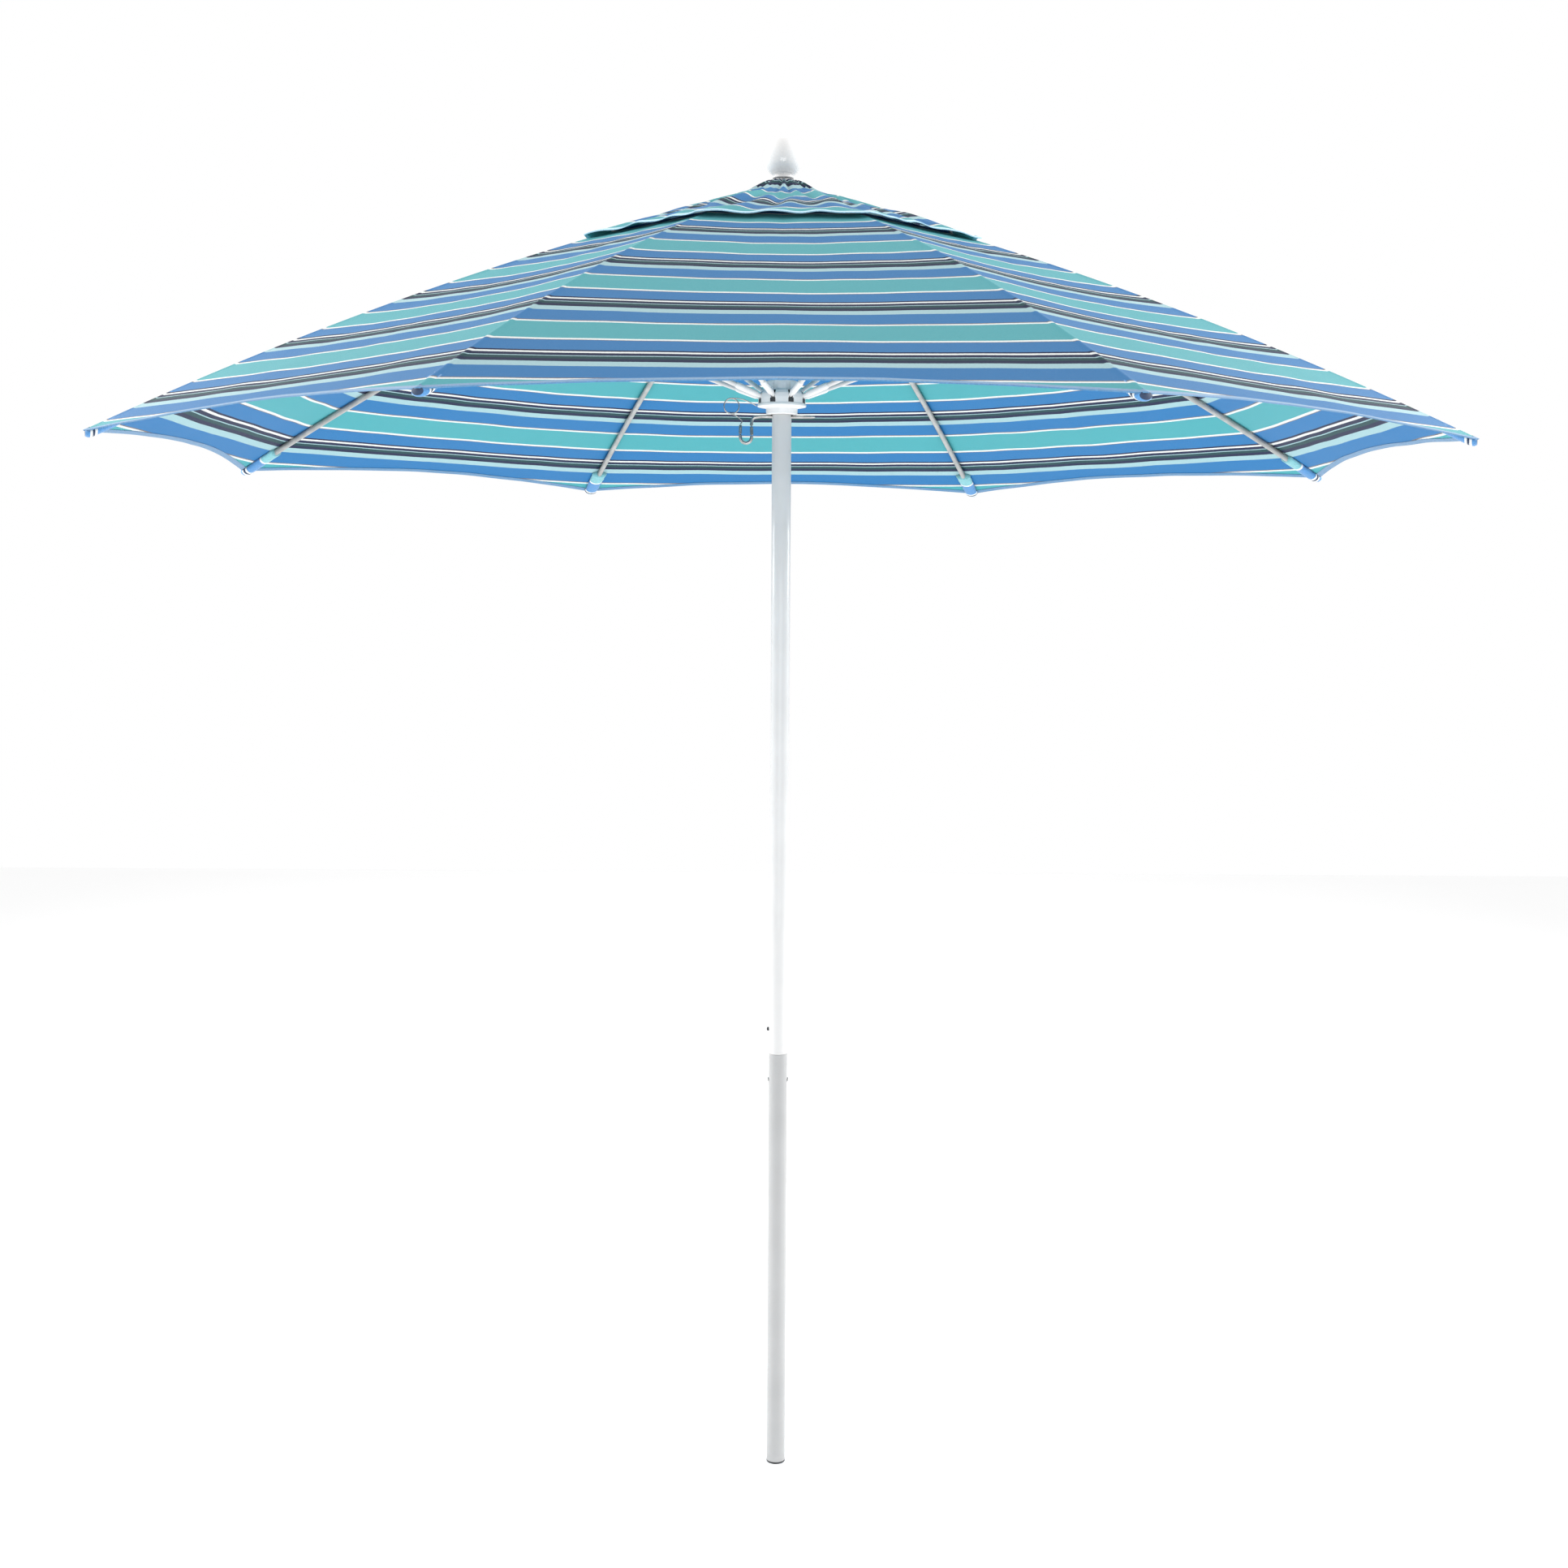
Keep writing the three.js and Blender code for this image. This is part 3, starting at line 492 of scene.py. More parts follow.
def scratch_box(size, place, turn):
    mesh = bpy.data.meshes.new("scratch")
    shape = bmesh.new()
    bmesh.ops.create_cube(shape, size=1.0)
    bmesh.ops.scale(shape, vec=size, verts=shape.verts)
    shape.to_mesh(mesh)
    shape.free()
    mesh.transform(Matrix.Translation(place) @ turn)
    piece = bpy.data.objects.new("scratch", mesh)
    bpy.context.collection.objects.link(piece)
    return piece


def soften(piece, width=0.0006, segments=2, angle=30.0):
    modifier = piece.modifiers.new("soften", "BEVEL")
    modifier.width = width
    modifier.segments = segments
    modifier.limit_method = "ANGLE"
    modifier.angle_limit = radians(angle)
    apply_modifiers(piece)
    for polygon in piece.data.polygons:
        polygon.use_smooth = True
    sharp_edges(piece, 42.0)


# ---- pole ----

def add_pole():
    seam_gap = 0.0004
    bore = LOWER_RADIUS - 0.0015
    # the lower tube takes the darker copy of the powder coat: painted shade
    lower = turned("pole_lower_tube", [
        (bore, 0.0034), (LOWER_RADIUS, 0.0034), (LOWER_RADIUS, JOINT_Z - seam_gap),
        (bore, JOINT_Z - seam_gap),
    ], PAINT_LOWER_PAINTED_SHADE, "lower", closed=True)
    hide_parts("lower_pole")
    upper_bore = POLE_RADIUS - 0.0015
    upper = turned("pole_upper_tube", [
        (upper_bore, JOINT_Z), (POLE_RADIUS, JOINT_Z), (POLE_RADIUS + 0.0003, JOINT_Z + 0.002),
        (POLE_RADIUS, JOINT_Z + 0.006), (POLE_RADIUS, POLE_TOP), (upper_bore, POLE_TOP),
    ], PAINT, "upper", closed=True)
    hole = tube_mesh([Vector((-0.05, 0, PIN_Z)), Vector((0.05, 0, PIN_Z))], PIN_RADIUS + 0.0006, 24)
    port = tube_mesh([Vector((-0.05, 0, BUTTON_Z)), Vector((0.0, 0, BUTTON_Z))], 0.0043, 24)
    cutters = []
    for vertices, faces in (hole, port):
        mesh = bpy.data.meshes.new("scratch")
        mesh.from_pydata([tuple(v) for v in vertices], [], faces)
        cutter = bpy.data.objects.new("scratch", mesh)
        bpy.context.collection.objects.link(cutter)
        face_outwards(cutter)
        cutters.append(cutter)
    boolean(upper, cutters)
    sharp_edges(upper)
    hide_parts("upper_pole")

    foot = turned("pole_foot_plug", [
        (0, 0), (LOWER_RADIUS - 0.0008, 0), (LOWER_RADIUS, 0.0008), (LOWER_RADIUS, 0.003),
        (bore - 0.0003, 0.003), (bore - 0.0003, 0.043), (0, 0.043),
    ], DARK, "lower")
    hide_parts("foot_plug")

    face = high("coupler_rivet").x
    cap = 0.0022
    head = [(0, face), (0.0028, face - 0.0002), (0.0046, face - 0.0011), (0.005, face - cap),
            (0.0024, face - cap)]
    profile = head + [(r, -z) for r, z in reversed(head)]
    rivet = turned("pole_joint_rivet", profile, STEEL, "lower", 32, radius=0)
    rivet.data.transform(Matrix.Translation((0, 0, RIVET_Z)) @ Matrix.Rotation(pi / 2, 4, "Y"))
    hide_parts("coupler_rivet")

    tip = -low("snap_button").x
    inner = -high("snap_button").x
    button = turned("pole_snap_button", [
        (0, inner), (0.0056, inner), (0.0056, inner + 0.0016), (0.004, inner + 0.002),
        (0.004, tip - 0.0026),
        (0.0037, tip - 0.0014), (0.0026, tip - 0.0004), (0, tip),
    ], DARK, "button", 40, radius=0.0003)
    button.data.transform(Matrix.Translation((0, 0, BUTTON_Z)) @ Matrix.Rotation(-pi / 2, 4, "Y"))
    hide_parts("snap_button")


# ---- crown ----

def slot_cutters(z_low, z_high, width, floor, outer):
    middle = (floor + outer) / 2
    return [scratch_box((outer - floor, width, z_high - z_low),
                        in_plane(azimuth, middle, (z_low + z_high) / 2),
                        Matrix.Rotation(azimuth, 4, "Z"))
            for azimuth in AZIMUTHS]


def add_crown():
    bottom = low("crown_hub").z
    top = high("crown_hub").z
    under = CROWN_Z - 0.013
    over = CROWN_Z + 0.013
    hub = turned("crown_hub_moulding", [
        (POLE_RADIUS + 0.0003, bottom), (0.028, bottom), (0.028, under - 0.004),
        (0.036, under - 0.0005),
        (0.050, under + 0.003), (0.050, over - 0.004), (0.042, over), (0.026, over + 0.001),
        (0.022, top),
        (0.0043, top), (0.0043, POLE_TOP + 0.0003), (POLE_RADIUS + 0.0003, POLE_TOP + 0.0003),
    ], PLASTIC, "upper", 96, closed=True)
    boolean(hub, slot_cutters(under - 0.002, over + 0.002, 0.009, 0.0305, 0.06))
    soften(hub)
    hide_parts("crown_hub")

    ball = high("finial").x
    centre = high("finial").z - ball
    neck = low("finial").z
    start = asin(max(-0.98, (neck + 0.005 - centre) / ball))
    arc = [(ball * cos(start + (pi / 2 - start) * k / 40),
            centre + ball * sin(start + (pi / 2 - start) * k / 40))
           for k in range(41)]
    arc[-1] = (0.0, centre + ball)
    finial = turned("finial_ball", [
        (0, neck + 0.02), (0.0043, neck + 0.02), (0.0043, neck), (0.021, neck),
        (0.022, neck + 0.0015),
        (0.0205, neck + 0.0035), (max(arc[0][0] - 0.0006, 0.012), neck + 0.0042), *arc,
    ], BALL_GLOSS, "upper", 96, radius=0)
    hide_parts("finial")


# ---- ribs and struts ----

def rod_piece(name, points, radii, material, body, sides=20):
    vertices, faces = tube_mesh(points, radii, sides)
    piece = add_mesh(name, vertices, faces, material, body)
    sharp_edges(piece)
    return piece


def add_rib(i, azimuth):
    count = 40
    start = PIVOT_REACH + RIB_ROOT
    reaches = [start + (RIB_TIP_REACH - start) * k / count for k in range(count + 1)]
    points = [in_plane(azimuth, reach, rib_z(reach)) for reach in reaches]
    rib = rod_piece(f"rib_rod_{i}", points, RIB_RADIUS, GLASSFIBRE, f"rib_{i}")
    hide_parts(f"rib_{i}")

    # moulded end that turns on the crown's wire ring
    cuff = [PIVOT_REACH - 0.0052, PIVOT_REACH - 0.003, PIVOT_REACH + 0.018, PIVOT_REACH + 0.021,
            PIVOT_REACH + 0.07, PIVOT_REACH + 0.074]
    sizes = [0.0026, 0.0042, 0.0043, 0.0068, 0.0068, 0.0060]
    rod_piece(f"rib_root_{i}", [in_plane(azimuth, reach, rib_z(reach)) for reach in cuff], sizes,
              PLASTIC, f"rib_{i}")
    tip = [RIB_TIP_REACH - 0.05, RIB_TIP_REACH - 0.047, RIB_TIP_REACH - 0.003, RIB_TIP_REACH]
    rod_piece(f"rib_tip_cap_{i}", [in_plane(azimuth, reach, rib_z(reach)) for reach in tip],
              [0.0061, 0.0068, 0.0068, 0.0058], DARK, f"rib_{i}")


def add_bracket(i, azimuth):
    """A moulded clamp under the rib with two rounded cheeks, and the strut's cross pin."""
    tilt = CLAMP_TILT
    over = RIB_ABOVE_PIVOT * cos(tilt)
    cheek_in, cheek_out = 0.0046, 0.0091
    outline = [(-0.017, over + 0.0015), (-0.017, over - 0.005), (-0.009, -0.004), (-0.005, -0.0066),
               (0.005, -0.0066), (0.009, -0.004), (0.017, over - 0.005), (0.017, over + 0.0015)]
    turn = Matrix.Rotation(azimuth, 4, "Z") @ Matrix.Translation((BRACKET_REACH, 0, BRACKET_Z)) \
        @ Matrix.Rotation(tilt, 4, "Y")
    vertices, faces = [], []
    count = len(outline)
    for side in (-cheek_out, cheek_out):
        vertices += [Vector((x, side, z)) for x, z in outline]
    faces.append(tuple(range(count)))
    faces.append(tuple(range(count, 2 * count)))
    faces += [(k, (k + 1) % count, count + (k + 1) % count, count + k) for k in range(count)]
    clamp = add_mesh(f"rib_clamp_{i}", [turn @ v for v in vertices], faces, PLASTIC, f"rib_{i}")
    slot = scratch_box((0.04, 2 * cheek_in, 0.02), Vector((0, 0, -0.0036)), Matrix.Identity(4))
    slot.data.transform(turn)
    bore_points = [turn @ Vector((x, 0, over)) for x in (-0.03, 0.03)]
    bore_vertices, bore_faces = tube_mesh(bore_points, RIB_RADIUS + 0.0003, 24)
    mesh = bpy.data.meshes.new("scratch")
    mesh.from_pydata([tuple(v) for v in bore_vertices], [], bore_faces)
    bore = bpy.data.objects.new("scratch", mesh)
    bpy.context.collection.objects.link(bore)
    face_outwards(bore)
    boolean(clamp, [slot, bore])
    soften(clamp, 0.0005)
    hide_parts(f"rib_bracket_{i}")
    ends = [turn @ Vector((0, side, 0)) for side in (-0.0099, -0.0093, 0.0093, 0.0099)]
    rod_piece(f"rib_clamp_pin_{i}", ends, [0.0022, 0.0026, 0.0026, 0.0022], STEEL, f"rib_{i}")


def add_strut(i, azimuth):
    start = in_plane(azimuth, PIVOT_REACH, RUNNER_Z)
    end = in_plane(azimuth, BRACKET_REACH, BRACKET_Z)
    along = (end - start).normalized()
    length = (end - start).length

    def at(distance):
        return start + along * distance

    strut = rod_piece(f"strut_rod_{i}", [at(0.016), at(length - 0.026), at(length - 0.0225),
                                         at(length - 0.019), at(length - 0.0035), at(length)],
                      [STRUT_RADIUS, STRUT_RADIUS, 0.0044, 0.004, 0.004, 0.0036], PAINT,
                      f"strut_{i}", 28)
    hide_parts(f"strut_{i}")
    rod_piece(f"strut_end_ring_{i}",
              [at(length - 0.04), at(length - 0.0385), at(length - 0.027), at(length - 0.0255)],
              [0.005, 0.0056, 0.0056, 0.005], DARK, f"strut_{i}", 28)

    socket = rod_piece(f"strut_cuff_{i}",
                       [at(-0.0052), at(-0.003), at(0.004), at(0.012), at(0.017), at(0.054),
                        at(0.060), at(0.062)],
                       [0.0026, 0.0040, 0.0043, 0.0046, 0.0064, 0.0064, 0.0060, 0.0050],
                       PLASTIC, f"strut_{i}", 28)
    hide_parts(f"strut_socket_{i}")


# ---- runner ----

def add_runner():
    bottom, top = low("runner_hub").z, high("runner_hub").z
    bore = high("runner_bush").x + 0.0003
    flange = RUNNER_Z - 0.019
    hub = turned("runner_moulding", [
        (bore, bottom), (0.0295, bottom), (0.031, bottom + 0.0015), (0.0318, flange - 0.003),
        (0.040, flange),
        (0.0485, flange + 0.0006), (0.0485, flange + 0.0046), (0.0468, flange + 0.0062),
        (0.047, RUNNER_Z - 0.002), (0.0455, RUNNER_Z + 0.006), (0.042, RUNNER_Z + 0.0115),
        (0.0345, RUNNER_Z + 0.0142), (0.0335, RUNNER_Z + 0.022), (0.0318, top - 0.002),
        (0.0305, top), (bore, top),
    ], PLASTIC, "runner", 128, closed=True)
    boolean(hub, slot_cutters(flange + 0.0072, top + 0.004, 0.009, 0.0305, 0.06))
    soften(hub, 0.0007)
    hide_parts("runner_hub")
    bush = turned("runner_liner", [
        (high("upper_pole").x + 0.0008, low("runner_bush").z),
        (bore - 0.0003, low("runner_bush").z),
        (bore - 0.0003, high("runner_bush").z),
        (high("upper_pole").x + 0.0008, high("runner_bush").z),
    ], DARK, "runner", closed=True)
    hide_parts("runner_bush")
    # painted shade: dark pads in the lower part of each strut window stand in for the shade inside the
    # slots
    vertices, faces = [], []
    for azimuth in AZIMUTHS:
        base = len(vertices)
        for reach in (0.0462, 0.0474):
            for side, z in ((-0.0054, flange + 0.0068), (0.0054, flange + 0.0068),
                            (0.0054, RUNNER_Z - 0.0042), (-0.0054, RUNNER_Z - 0.0042)):
                vertices.append(in_plane(azimuth, reach, z, side))
        faces += [tuple(base + k for k in quad) for quad in
                  ((0, 1, 2, 3), (4, 5, 6, 7), (0, 1, 5, 4), (1, 2, 6, 5), (2, 3, 7, 6),
                   (3, 0, 4, 7))]
    add_mesh("runner_window_painted_shade_pads", vertices, faces, DARK, "runner", smooth=False)
    # painted shade: a dark ring lining the slot floors stands in for the shade in the recesses
    turned("runner_painted_shade_core", [
        (0.0300, flange + 0.0074), (0.0309, flange + 0.0074), (0.0309, RUNNER_Z + 0.0130),
        (0.0300, RUNNER_Z + 0.0130),
    ], DARK, "runner", radius=0, closed=True)


def smooth_path(points, steps):
    """Points along a centripetal Catmull-Rom curve through the given ones."""
    out = []
    padded = [2 * points[0] - points[1], *points, 2 * points[-1] - points[-2]]
    for p0, p1, p2, p3 in zip(padded, padded[1:], padded[2:], padded[3:]):
        t0 = 0.0
        t1 = t0 + max((p1 - p0).length, 1e-6) ** 0.5
        t2 = t1 + max((p2 - p1).length, 1e-6) ** 0.5
        t3 = t2 + max((p3 - p2).length, 1e-6) ** 0.5
        for k in range(steps):
            t = t1 + (t2 - t1) * k / steps
            a1 = (t1 - t) / (t1 - t0) * p0 + (t - t0) / (t1 - t0) * p1
            a2 = (t2 - t) / (t2 - t1) * p1 + (t - t1) / (t2 - t1) * p2
            a3 = (t3 - t) / (t3 - t2) * p2 + (t - t2) / (t3 - t2) * p3
            b1 = (t2 - t) / (t2 - t0) * a1 + (t - t0) / (t2 - t0) * a2
            b2 = (t3 - t) / (t3 - t1) * a2 + (t - t1) / (t3 - t1) * a3
            out.append((t2 - t) / (t2 - t1) * b1 + (t - t1) / (t2 - t1) * b2)
    out.append(points[-1].copy())
    return out


PIN_LEFT = 0.060
PIN_LOOP_DROP = 0.052
PIN_LOOP_WIDTH = 0.022
PIN_HOOK = 0.016


def add_pin():
    base = PIN_Z - PIN_LOOP_DROP
    outer = -PIN_LEFT - PIN_LOOP_WIDTH
    bend = PIN_LOOP_WIDTH / 2
    right = high("lock_pin").x
    points = [(right, PIN_Z), (0, PIN_Z), (-PIN_LEFT + 0.014, PIN_Z),
              (-PIN_LEFT + 0.003, PIN_Z - 0.003),
              (-PIN_LEFT, PIN_Z - 0.014), (-PIN_LEFT, base + bend),
              (-PIN_LEFT - bend * 0.3, base + bend * 0.3),
              (-PIN_LEFT - bend, base), (outer + bend * 0.3, base + bend * 0.3),
              (outer, base + bend),
              (outer, PIN_Z - PIN_HOOK)]
    path = smooth_path([Vector((x, 0, z)) for x, z in points], 8)
    radii = [PIN_RADIUS * 0.6] + [PIN_RADIUS] * (len(path) - 2) + [PIN_RADIUS * 0.7]
    pin = rod_piece("lock_pin_wire", path, radii, STEEL, "pin", 20)
    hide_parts("lock_pin")


LANYARD_RADIUS = 0.0011
LANYARD_TURNS = 2
LANYARD_TURN_RADIUS = 0.015
LANYARD_TURN_STEP = 0.004
LANYARD_POINTS_PER_TURN = 12


def lanyard_route():
    """The leash from the flange's rim, round two slack turns and down to the pin's free end."""
    start_z = RUNNER_Z - 0.019 + 0.0025
    start = -0.0485 - LANYARD_RADIUS - 0.0003
    centre_x, centre_z = start - 0.050, start_z - 0.001
    steps = LANYARD_TURNS * LANYARD_POINTS_PER_TURN + LANYARD_POINTS_PER_TURN // 2
    turns = []
    for k in range(steps + 1):
        angle = pi / 2 + 2 * pi * k / LANYARD_POINTS_PER_TURN
        turns.append((centre_x + LANYARD_TURN_RADIUS * cos(angle),
                      -0.008 + LANYARD_TURN_STEP * k / LANYARD_POINTS_PER_TURN,
                      centre_z + LANYARD_TURN_RADIUS * sin(angle)))
    last = -PIN_LEFT - PIN_LOOP_WIDTH
    hook = PIN_Z - PIN_HOOK
    return [(start, 0, start_z), (start - 0.010, -0.001, start_z + 0.005),
            (start - 0.028, -0.005, start_z + 0.012),
            *turns, (centre_x + 0.009, 0.004, centre_z - 0.018),
            (last + 0.003, 0.003, hook + PIN_RADIUS + 0.004),
            (last, 0, hook + 0.0016)]


def add_lanyard():
    path = smooth_path([Vector(p) for p in lanyard_route()], 5)
    data = bpy.data.curves.new("pin_leash", "CURVE")
    data.dimensions = "3D"
    spline = data.splines.new("POLY")
    spline.points.add(len(path) - 1)
    for point, place in zip(spline.points, path):
        point.co = (*place, 1)
    data.bevel_depth = LANYARD_RADIUS
    data.bevel_resolution = 3
    data.use_fill_caps = True
    data.materials.append(STEEL)
    leash = bpy.data.objects.new("pin_leash", data)
    bpy.context.collection.objects.link(leash)
    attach(leash, "runner")
    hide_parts("pin_lanyard")


# ---- cloth ----

def hem_share(share):
    """The hem's cut from a rib (0) to the middle of a gore (1), as a share of the whole cut."""
    return 2 * share - share * share


def gore_point(azimuth, reach, off, z_of, arc, rim, inner, sag=0.0):
    """A point of the cloth, which sags between the ribs, and the reach that it is cut at."""
    from_rib = hem_share(min(abs(off) / HALF_GORE, 1.0))
    along = (reach - inner) / (rim - inner)
    cut = reach - arc * from_rib * along
    out = cut * cos(HALF_GORE) / cos(HALF_GORE - abs(off))
    z = z_of(cut) - sag * 4 * along * (1 - along) * from_rib
    return Vector((out * cos(azimuth + off), out * sin(azimuth + off), z)), cut


def cloth_z(reach):
    return rib_z(reach) + CLOTH_LIFT


def slope_length(reach, steps=60):
    """Distance along a gore's middle from the rim's corner line in to a reach."""
    total = 0.0
    for k in range(steps):
        a = RIM_REACH - (RIM_REACH - reach) * k / steps
        b = RIM_REACH - (RIM_REACH - reach) * (k + 1) / steps
        total += hypot((a - b) * cos(HALF_GORE), cloth_z(b) - cloth_z(a))
    return total


SLOPE_TABLE = [(VENT_HOLE_REACH + (RIM_REACH - VENT_HOLE_REACH) * k / 200) for k in range(201)]
SLOPE_AT = [slope_length(reach) for reach in SLOPE_TABLE]


def from_rim(reach):
    """The same distance by looking it up."""
    place = (reach - VENT_HOLE_REACH) / (RIM_REACH - VENT_HOLE_REACH) * 200
    k = max(0, min(199, int(place)))
    return SLOPE_AT[k] + (SLOPE_AT[k + 1] - SLOPE_AT[k]) * (place - k)


STRIPE_START = 0.049             # the first stripe's outer edge, in from the rim's corner line


def two_sided(name, grid, uvs, body, thickness, top, under):
    """A closed sheet from a grid of points on its middle, striped by the UVs on both faces."""
    rows, columns = len(grid), len(grid[0])
    normals = []
    for r in range(rows):
        line = []
        for c in range(columns):
            down = grid[min(r + 1, rows - 1)][c] - grid[max(r - 1, 0)][c]
            across = grid[r][min(c + 1, columns - 1)] - grid[r][max(c - 1, 0)]
            normal = down.cross(across).normalized()
            line.append(normal if normal.z > 0 else -normal)
        normals.append(line)
    half = thickness / 2
    vertices = [grid[r][c] + normals[r][c] * half for r in range(rows) for c in range(columns)]
    vertices += [grid[r][c] - normals[r][c] * half for r in range(rows) for c in range(columns)]
    size = rows * columns

    def at(r, c, side):
        return side * size + r * columns + c

    faces, kinds = [], []
    for r in range(rows - 1):
        for c in range(columns - 1):
            faces.append((at(r, c, 0), at(r + 1, c, 0), at(r + 1, c + 1, 0), at(r, c + 1, 0)))
            faces.append((at(r, c, 1), at(r, c + 1, 1), at(r + 1, c + 1, 1), at(r + 1, c, 1)))
            kinds += [0, 1]
    for r in range(rows - 1):
        for c in (0, columns - 1):
            faces.append((at(r, c, 0), at(r + 1, c, 0), at(r + 1, c, 1), at(r, c, 1)))
            kinds.append(0)
    for c in range(columns - 1):
        for r in (0, rows - 1):
            faces.append((at(r, c, 0), at(r, c + 1, 0), at(r, c + 1, 1), at(r, c, 1)))
            kinds.append(0)
    mesh = bpy.data.meshes.new(name)
    mesh.from_pydata([tuple(v) for v in vertices], [], faces)
    mesh.materials.append(top)
    mesh.materials.append(under)
    layer = mesh.uv_layers.new(name="cloth")
    flat = [uvs[r][c] for r in range(rows) for c in range(columns)] * 2
    for polygon, kind in zip(mesh.polygons, kinds):
        polygon.material_index = kind
        polygon.use_smooth = True
        for loop in polygon.loop_indices:
            layer.data[loop].uv = flat[mesh.loops[loop].vertex_index]
    piece = bpy.data.objects.new(name, mesh)
    bpy.context.collection.objects.link(piece)
    face_outwards(piece)
    sharp_edges(piece, 60.0)
    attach(piece, body)
    return piece


SEAM_HALF = 0.006
SEAM_RISE = 0.0012


def gore_offs(count):
    """Angles off a rib, closer together at the seam."""
    inner = [0.006, 0.016, 0.03]
    outer = [0.03 + (1 - 0.03) * k / count for k in range(1, count + 1)]
    half = inner + outer
    return [-x * HALF_GORE for x in reversed(half)] + [0.0] + [x * HALF_GORE for x in half]


def ruffle(azimuth, reach, off):
    """Small uneven tension ripples that fan out from the seams."""
    share = abs(off) / HALF_GORE
    place = Vector((cos(azimuth + off) * reach * 3.0, sin(azimuth + off) * reach * 3.0,
                    share * 2.0))
    return 0.0016 * noise.noise(place * 1.7) * min(1.0, share * 4)


def add_canopy(i, azimuth):
    rows = 64
    offs = gore_offs(16)
    reaches = [VENT_HOLE_REACH + (RIM_REACH - VENT_HOLE_REACH) * k / rows for k in range(rows + 1)]
    grid, uvs = [], []
    for reach in reaches:
        line, marks = [], []
        for off in offs:
            point, cut = gore_point(azimuth, reach, off, cloth_z, HEM_ARC, RIM_REACH,
                                    VENT_HOLE_REACH,
                                    MID_GORE_SAG)
            side = abs(point.xy.length * off)
            point.z += SEAM_RISE * max(0.0,
                                       1 - (side / SEAM_HALF) ** 4) if side < SEAM_HALF else 0.0
            point.z += ruffle(azimuth, reach, off)
            line.append(point)
            marks.append((cut * tan(off) * cos(HALF_GORE), from_rim(cut) - STRIPE_START))
        grid.append(line)
        uvs.append(marks)
    cloth = two_sided(f"canopy_cloth_{i}", grid, uvs, f"rib_{i}", CLOTH, CLOTH_TOP, CLOTH_UNDER_PAINTED_BACKLIGHT)
    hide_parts(f"canopy_{i}")

    hem = hem_roll(f"canopy_hem_{i}", grid[-1], 0.011, 0.0012, HEM_CLOTH, f"rib_{i}")
    pocket = add_pocket(i, azimuth)
    for piece in (cloth, hem):
        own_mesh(piece)


def hem_roll(name, edge, width, thickness, material, body):
    """The turned-under hem: a flat band that wraps the cloth's edge, thicker than the cloth."""
    vertices, faces = [], []
    ring = []
    count = len(edge)
    outline = [(0.0012, 0.0), (0.0009, 0.9), (-width * 0.5, 1.0), (-width, 0.7), (-width, -0.7),
               (-width * 0.5, -1.0), (0.0009, -0.9)]
    for k, point in enumerate(edge):
        ahead = (edge[min(k + 1, count - 1)] - edge[max(k - 1, 0)]).normalized()
        inward = Vector((-point.x, -point.y, 0)).normalized() + Vector((0, 0, SLOPE_OUT))
        inward = (inward - ahead * inward.dot(ahead)).normalized()
        up = ahead.cross(inward).normalized()
        if up.z < 0:
            up = -up
        ring = [point - inward * x + up * y * thickness for x, y in outline]
        vertices += ring
    sides = len(outline)
    for k in range(count - 1):
        for s in range(sides):
            n = (s + 1) % sides
            faces.append((k * sides + s, k * sides + n, (k + 1) * sides + n, (k + 1) * sides + s))
    faces.append(tuple(range(sides)))
    faces.append(tuple(range((count - 1) * sides, count * sides)))
    piece = add_mesh(name, vertices, faces, material, body)
    sharp_edges(piece, 50.0)
    return piece


POCKET_LENGTH = 0.090


def add_pocket(i, azimuth):
    """The sleeve of striped cloth that holds the rib's tip, sewn under the corner."""
    stations = 22
    sides = 20
    vertices, faces, bands = [], [], []
    for k in range(stations + 1):
        share = k / stations
        reach = RIM_REACH - 0.002 - POCKET_LENGTH * share
        blunt = max(0.0, 1 - share * 9)
        height = 0.0082 + 0.0010 * sin(pi * min(1.0, share * 1.15)) - 0.002 * blunt
        width = 0.0150 + 0.0035 * share - 0.005 * blunt
        middle = rib_z(min(reach, RIB_TIP_REACH)) + 0.0002 + 0.002 * blunt
        crease = 0.0007 * sin(share * 31 + i)
        for s in range(sides):
            angle = 2 * pi * s / sides
            lift = height * sin(angle)
            if lift > 0:
                lift *= 0.9
            vertices.append(in_plane(azimuth, reach, middle + lift,
                                     side=(width + crease) * cos(angle)))
    for k in range(stations):
        share = k / stations
        band = 2 if share < 0.05 else 1 if share < 0.11 else 3 if share < 0.16 else 1 if share < 0.2 \
            else 2 if share < 0.60 else 1 if share < 0.66 else 0
        for s in range(sides):
            n = (s + 1) % sides
            faces.append((k * sides + s, k * sides + n, (k + 1) * sides + n, (k + 1) * sides + s))
            bands.append(band)
    faces.append(tuple(range(sides)))
    faces.append(tuple(range(stations * sides, (stations + 1) * sides)))
    bands += [3, 0]
    pocket = add_mesh(f"tip_pocket_{i}", vertices, faces, POCKET_TEAL, f"rib_{i}")
    for material in (POCKET_WHITE, POCKET_BLUE, POCKET_NAVY):
        pocket.data.materials.append(material)
    for polygon, band in zip(pocket.data.polygons, bands):
        polygon.material_index = band
    return pocket


VENT_SHOULDER = 0.098            # where the steep gathered neck meets the shallow skirt
VENT_SHOULDER_DROP = 0.037


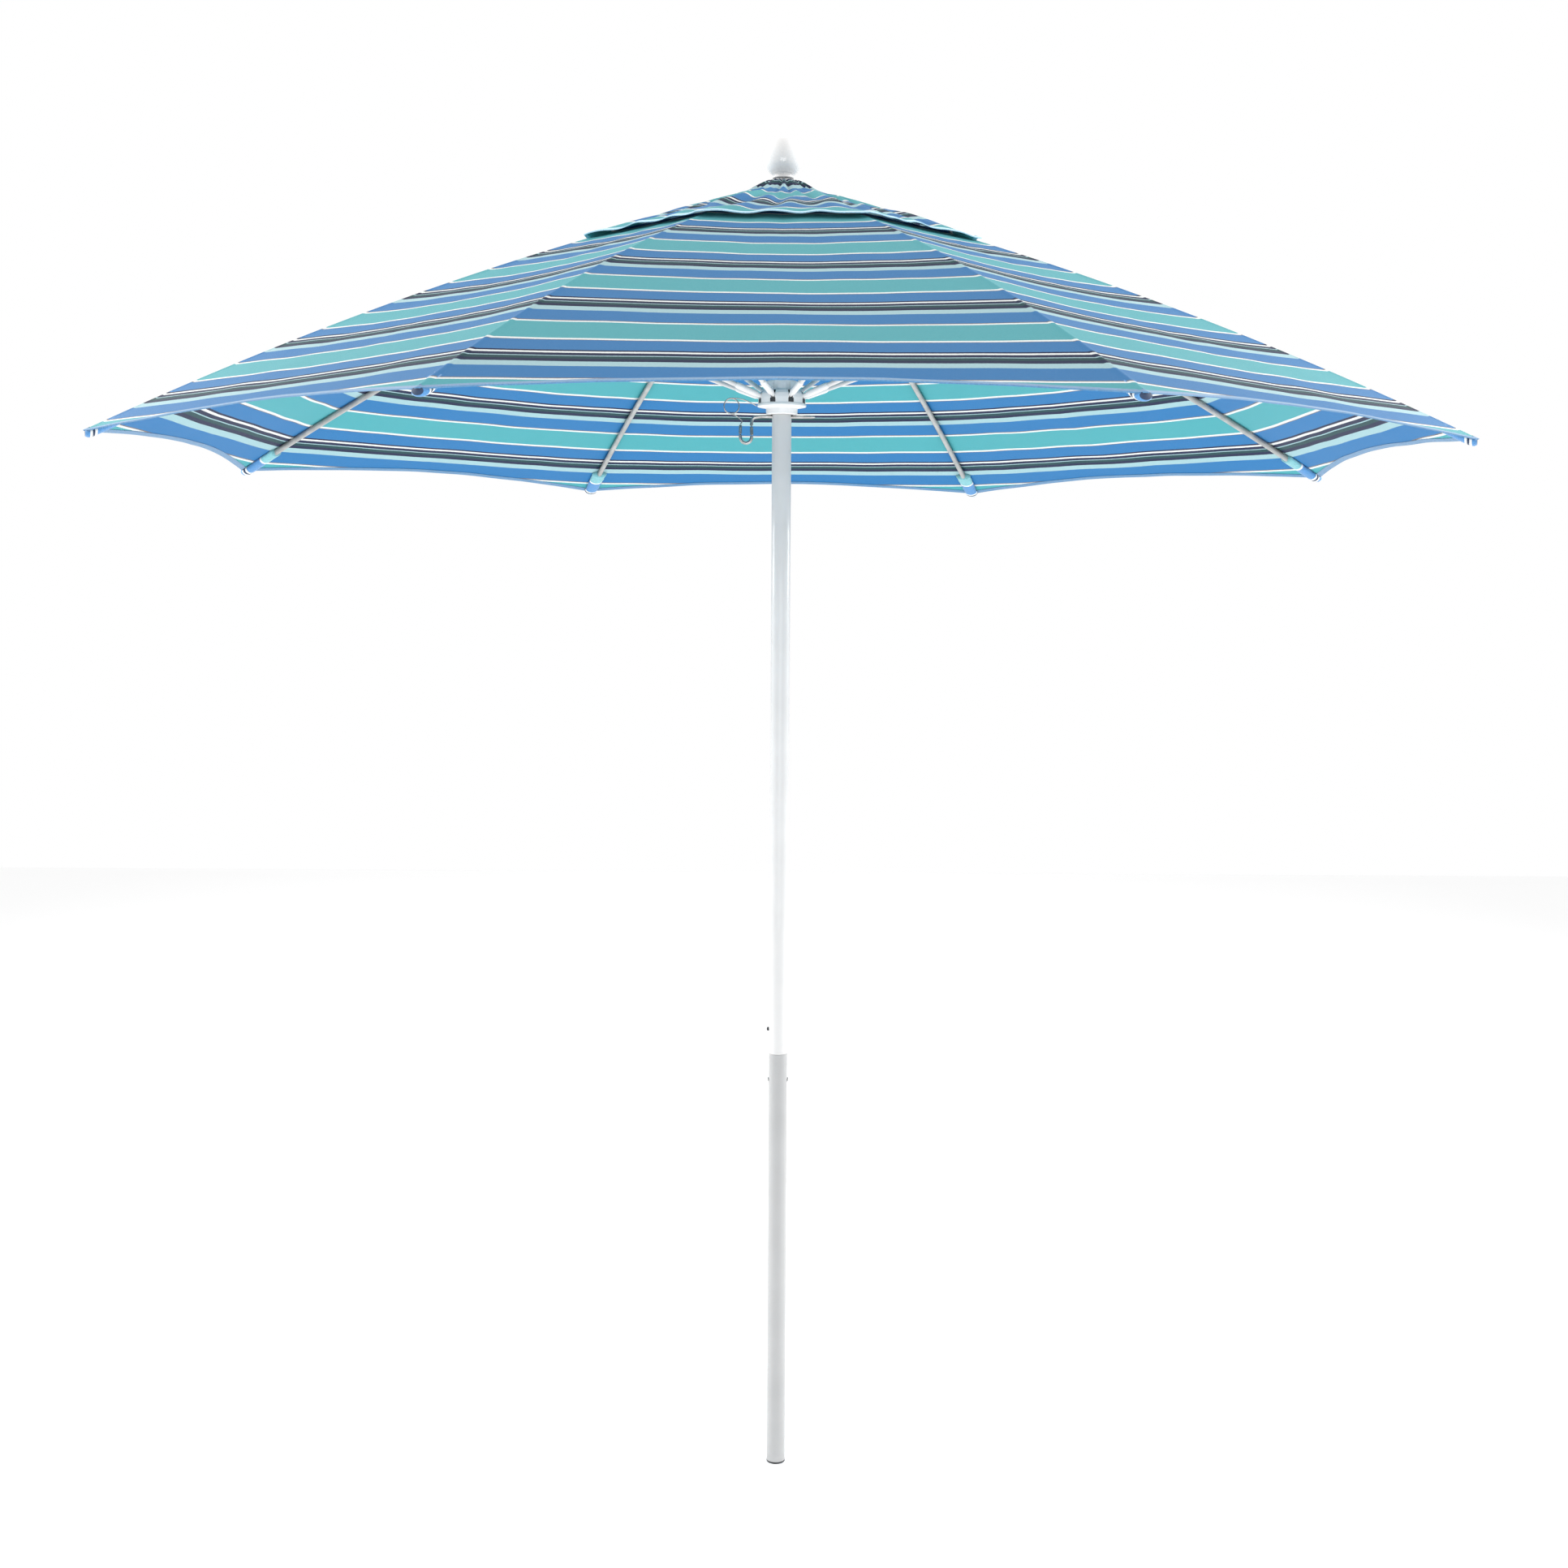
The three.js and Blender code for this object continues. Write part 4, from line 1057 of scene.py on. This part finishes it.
def vent_z(reach):
    """Height of the cap over a rib: a steep gathered neck at the crown, then a shallow skirt."""
    if reach < VENT_SHOULDER:
        share = (reach - VENT_TOP_REACH) / (VENT_SHOULDER - VENT_TOP_REACH)
        return VENT_TOP_Z - VENT_SHOULDER_DROP * (0.55 * share + 0.45 * (1 - cos(pi * share)) / 2)
    share = (reach - VENT_SHOULDER) / (VENT_REACH - VENT_SHOULDER)
    return VENT_TOP_Z - VENT_SHOULDER_DROP - (VENT_TOP_Z - VENT_SHOULDER_DROP - VENT_RIM_Z) * share


def add_vent(i, azimuth):
    """An eighth of the loose cap over the crown, gathered and wrinkled, with a narrow pale hem."""
    rows = 44
    offs = [-HALF_GORE + 2 * HALF_GORE * k / 44 for k in range(45)]
    grid, uvs = [], []
    for k in range(rows + 1):
        reach = VENT_TOP_REACH + (VENT_REACH - VENT_TOP_REACH) * k / rows
        line, marks = [], []
        for off in offs:
            point, cut = gore_point(azimuth, reach, off, vent_z, VENT_HEM_ARC, VENT_REACH,
                                    VENT_TOP_REACH)
            share = abs(off) / HALF_GORE
            along = k / rows
            turn = azimuth + off
            folds = sin(turn * 24 + 9 * along) * 0.5 + noise.noise(
                Vector((cos(turn) * 9, sin(turn) * 9, along * 4.0))) * 0.9
            slack = sin(pi * min(1.0, along * 1.02)) ** 0.6 * 0.006 + 0.0035 * along ** 3
            point.z += (folds + 0.6) * slack
            point.z -= 0.003 * sin(pi * share / 2) ** 2 * sin(pi * along) ** 0.8
            line.append(point)
            wave = noise.noise(Vector((cos(turn) * 6, sin(turn) * 6, along * 3.0 + 5.0)))
            marks.append((cut * tan(off),
                          (VENT_REACH - cut) * 1.06 + 0.012 * wave * sin(pi * along) + 0.165))
        grid.append(line)
        uvs.append(marks)
    cloth = two_sided(f"vent_cloth_{i}", grid, uvs, f"rib_{i}", CLOTH, CLOTH_TOP, CLOTH_UNDER_PAINTED_BACKLIGHT)
    hem = hem_roll(f"vent_hem_{i}", grid[-1], 0.008, 0.0011, VENT_HEM_CLOTH, f"rib_{i}")
    for piece in (cloth, hem):
        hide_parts("vent_canopy")
        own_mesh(piece)


def dress_small_nodes():
    """The small pieces whose CAD shape is right get the finish of what they are made of."""
    looks = {"pole_coupler": STEEL, "button_spring": STEEL, "crown_ring": STEEL,
             "runner_ring": STEEL,
             "finial_stud": STEEL}
    for name, material in looks.items():
        shown = frame["nodes"][name]
        for slot in shown.material_slots:
            slot.material = material


set_camera()
add_lanyard()
set_stage()
add_pole()
add_crown()
add_runner()
add_pin()
for number, rib_azimuth in enumerate(AZIMUTHS, start=1):
    add_rib(number, rib_azimuth)
    add_bracket(number, rib_azimuth)
    add_strut(number, rib_azimuth)
    add_canopy(number, rib_azimuth)
    add_vent(number, rib_azimuth)
dress_small_nodes()
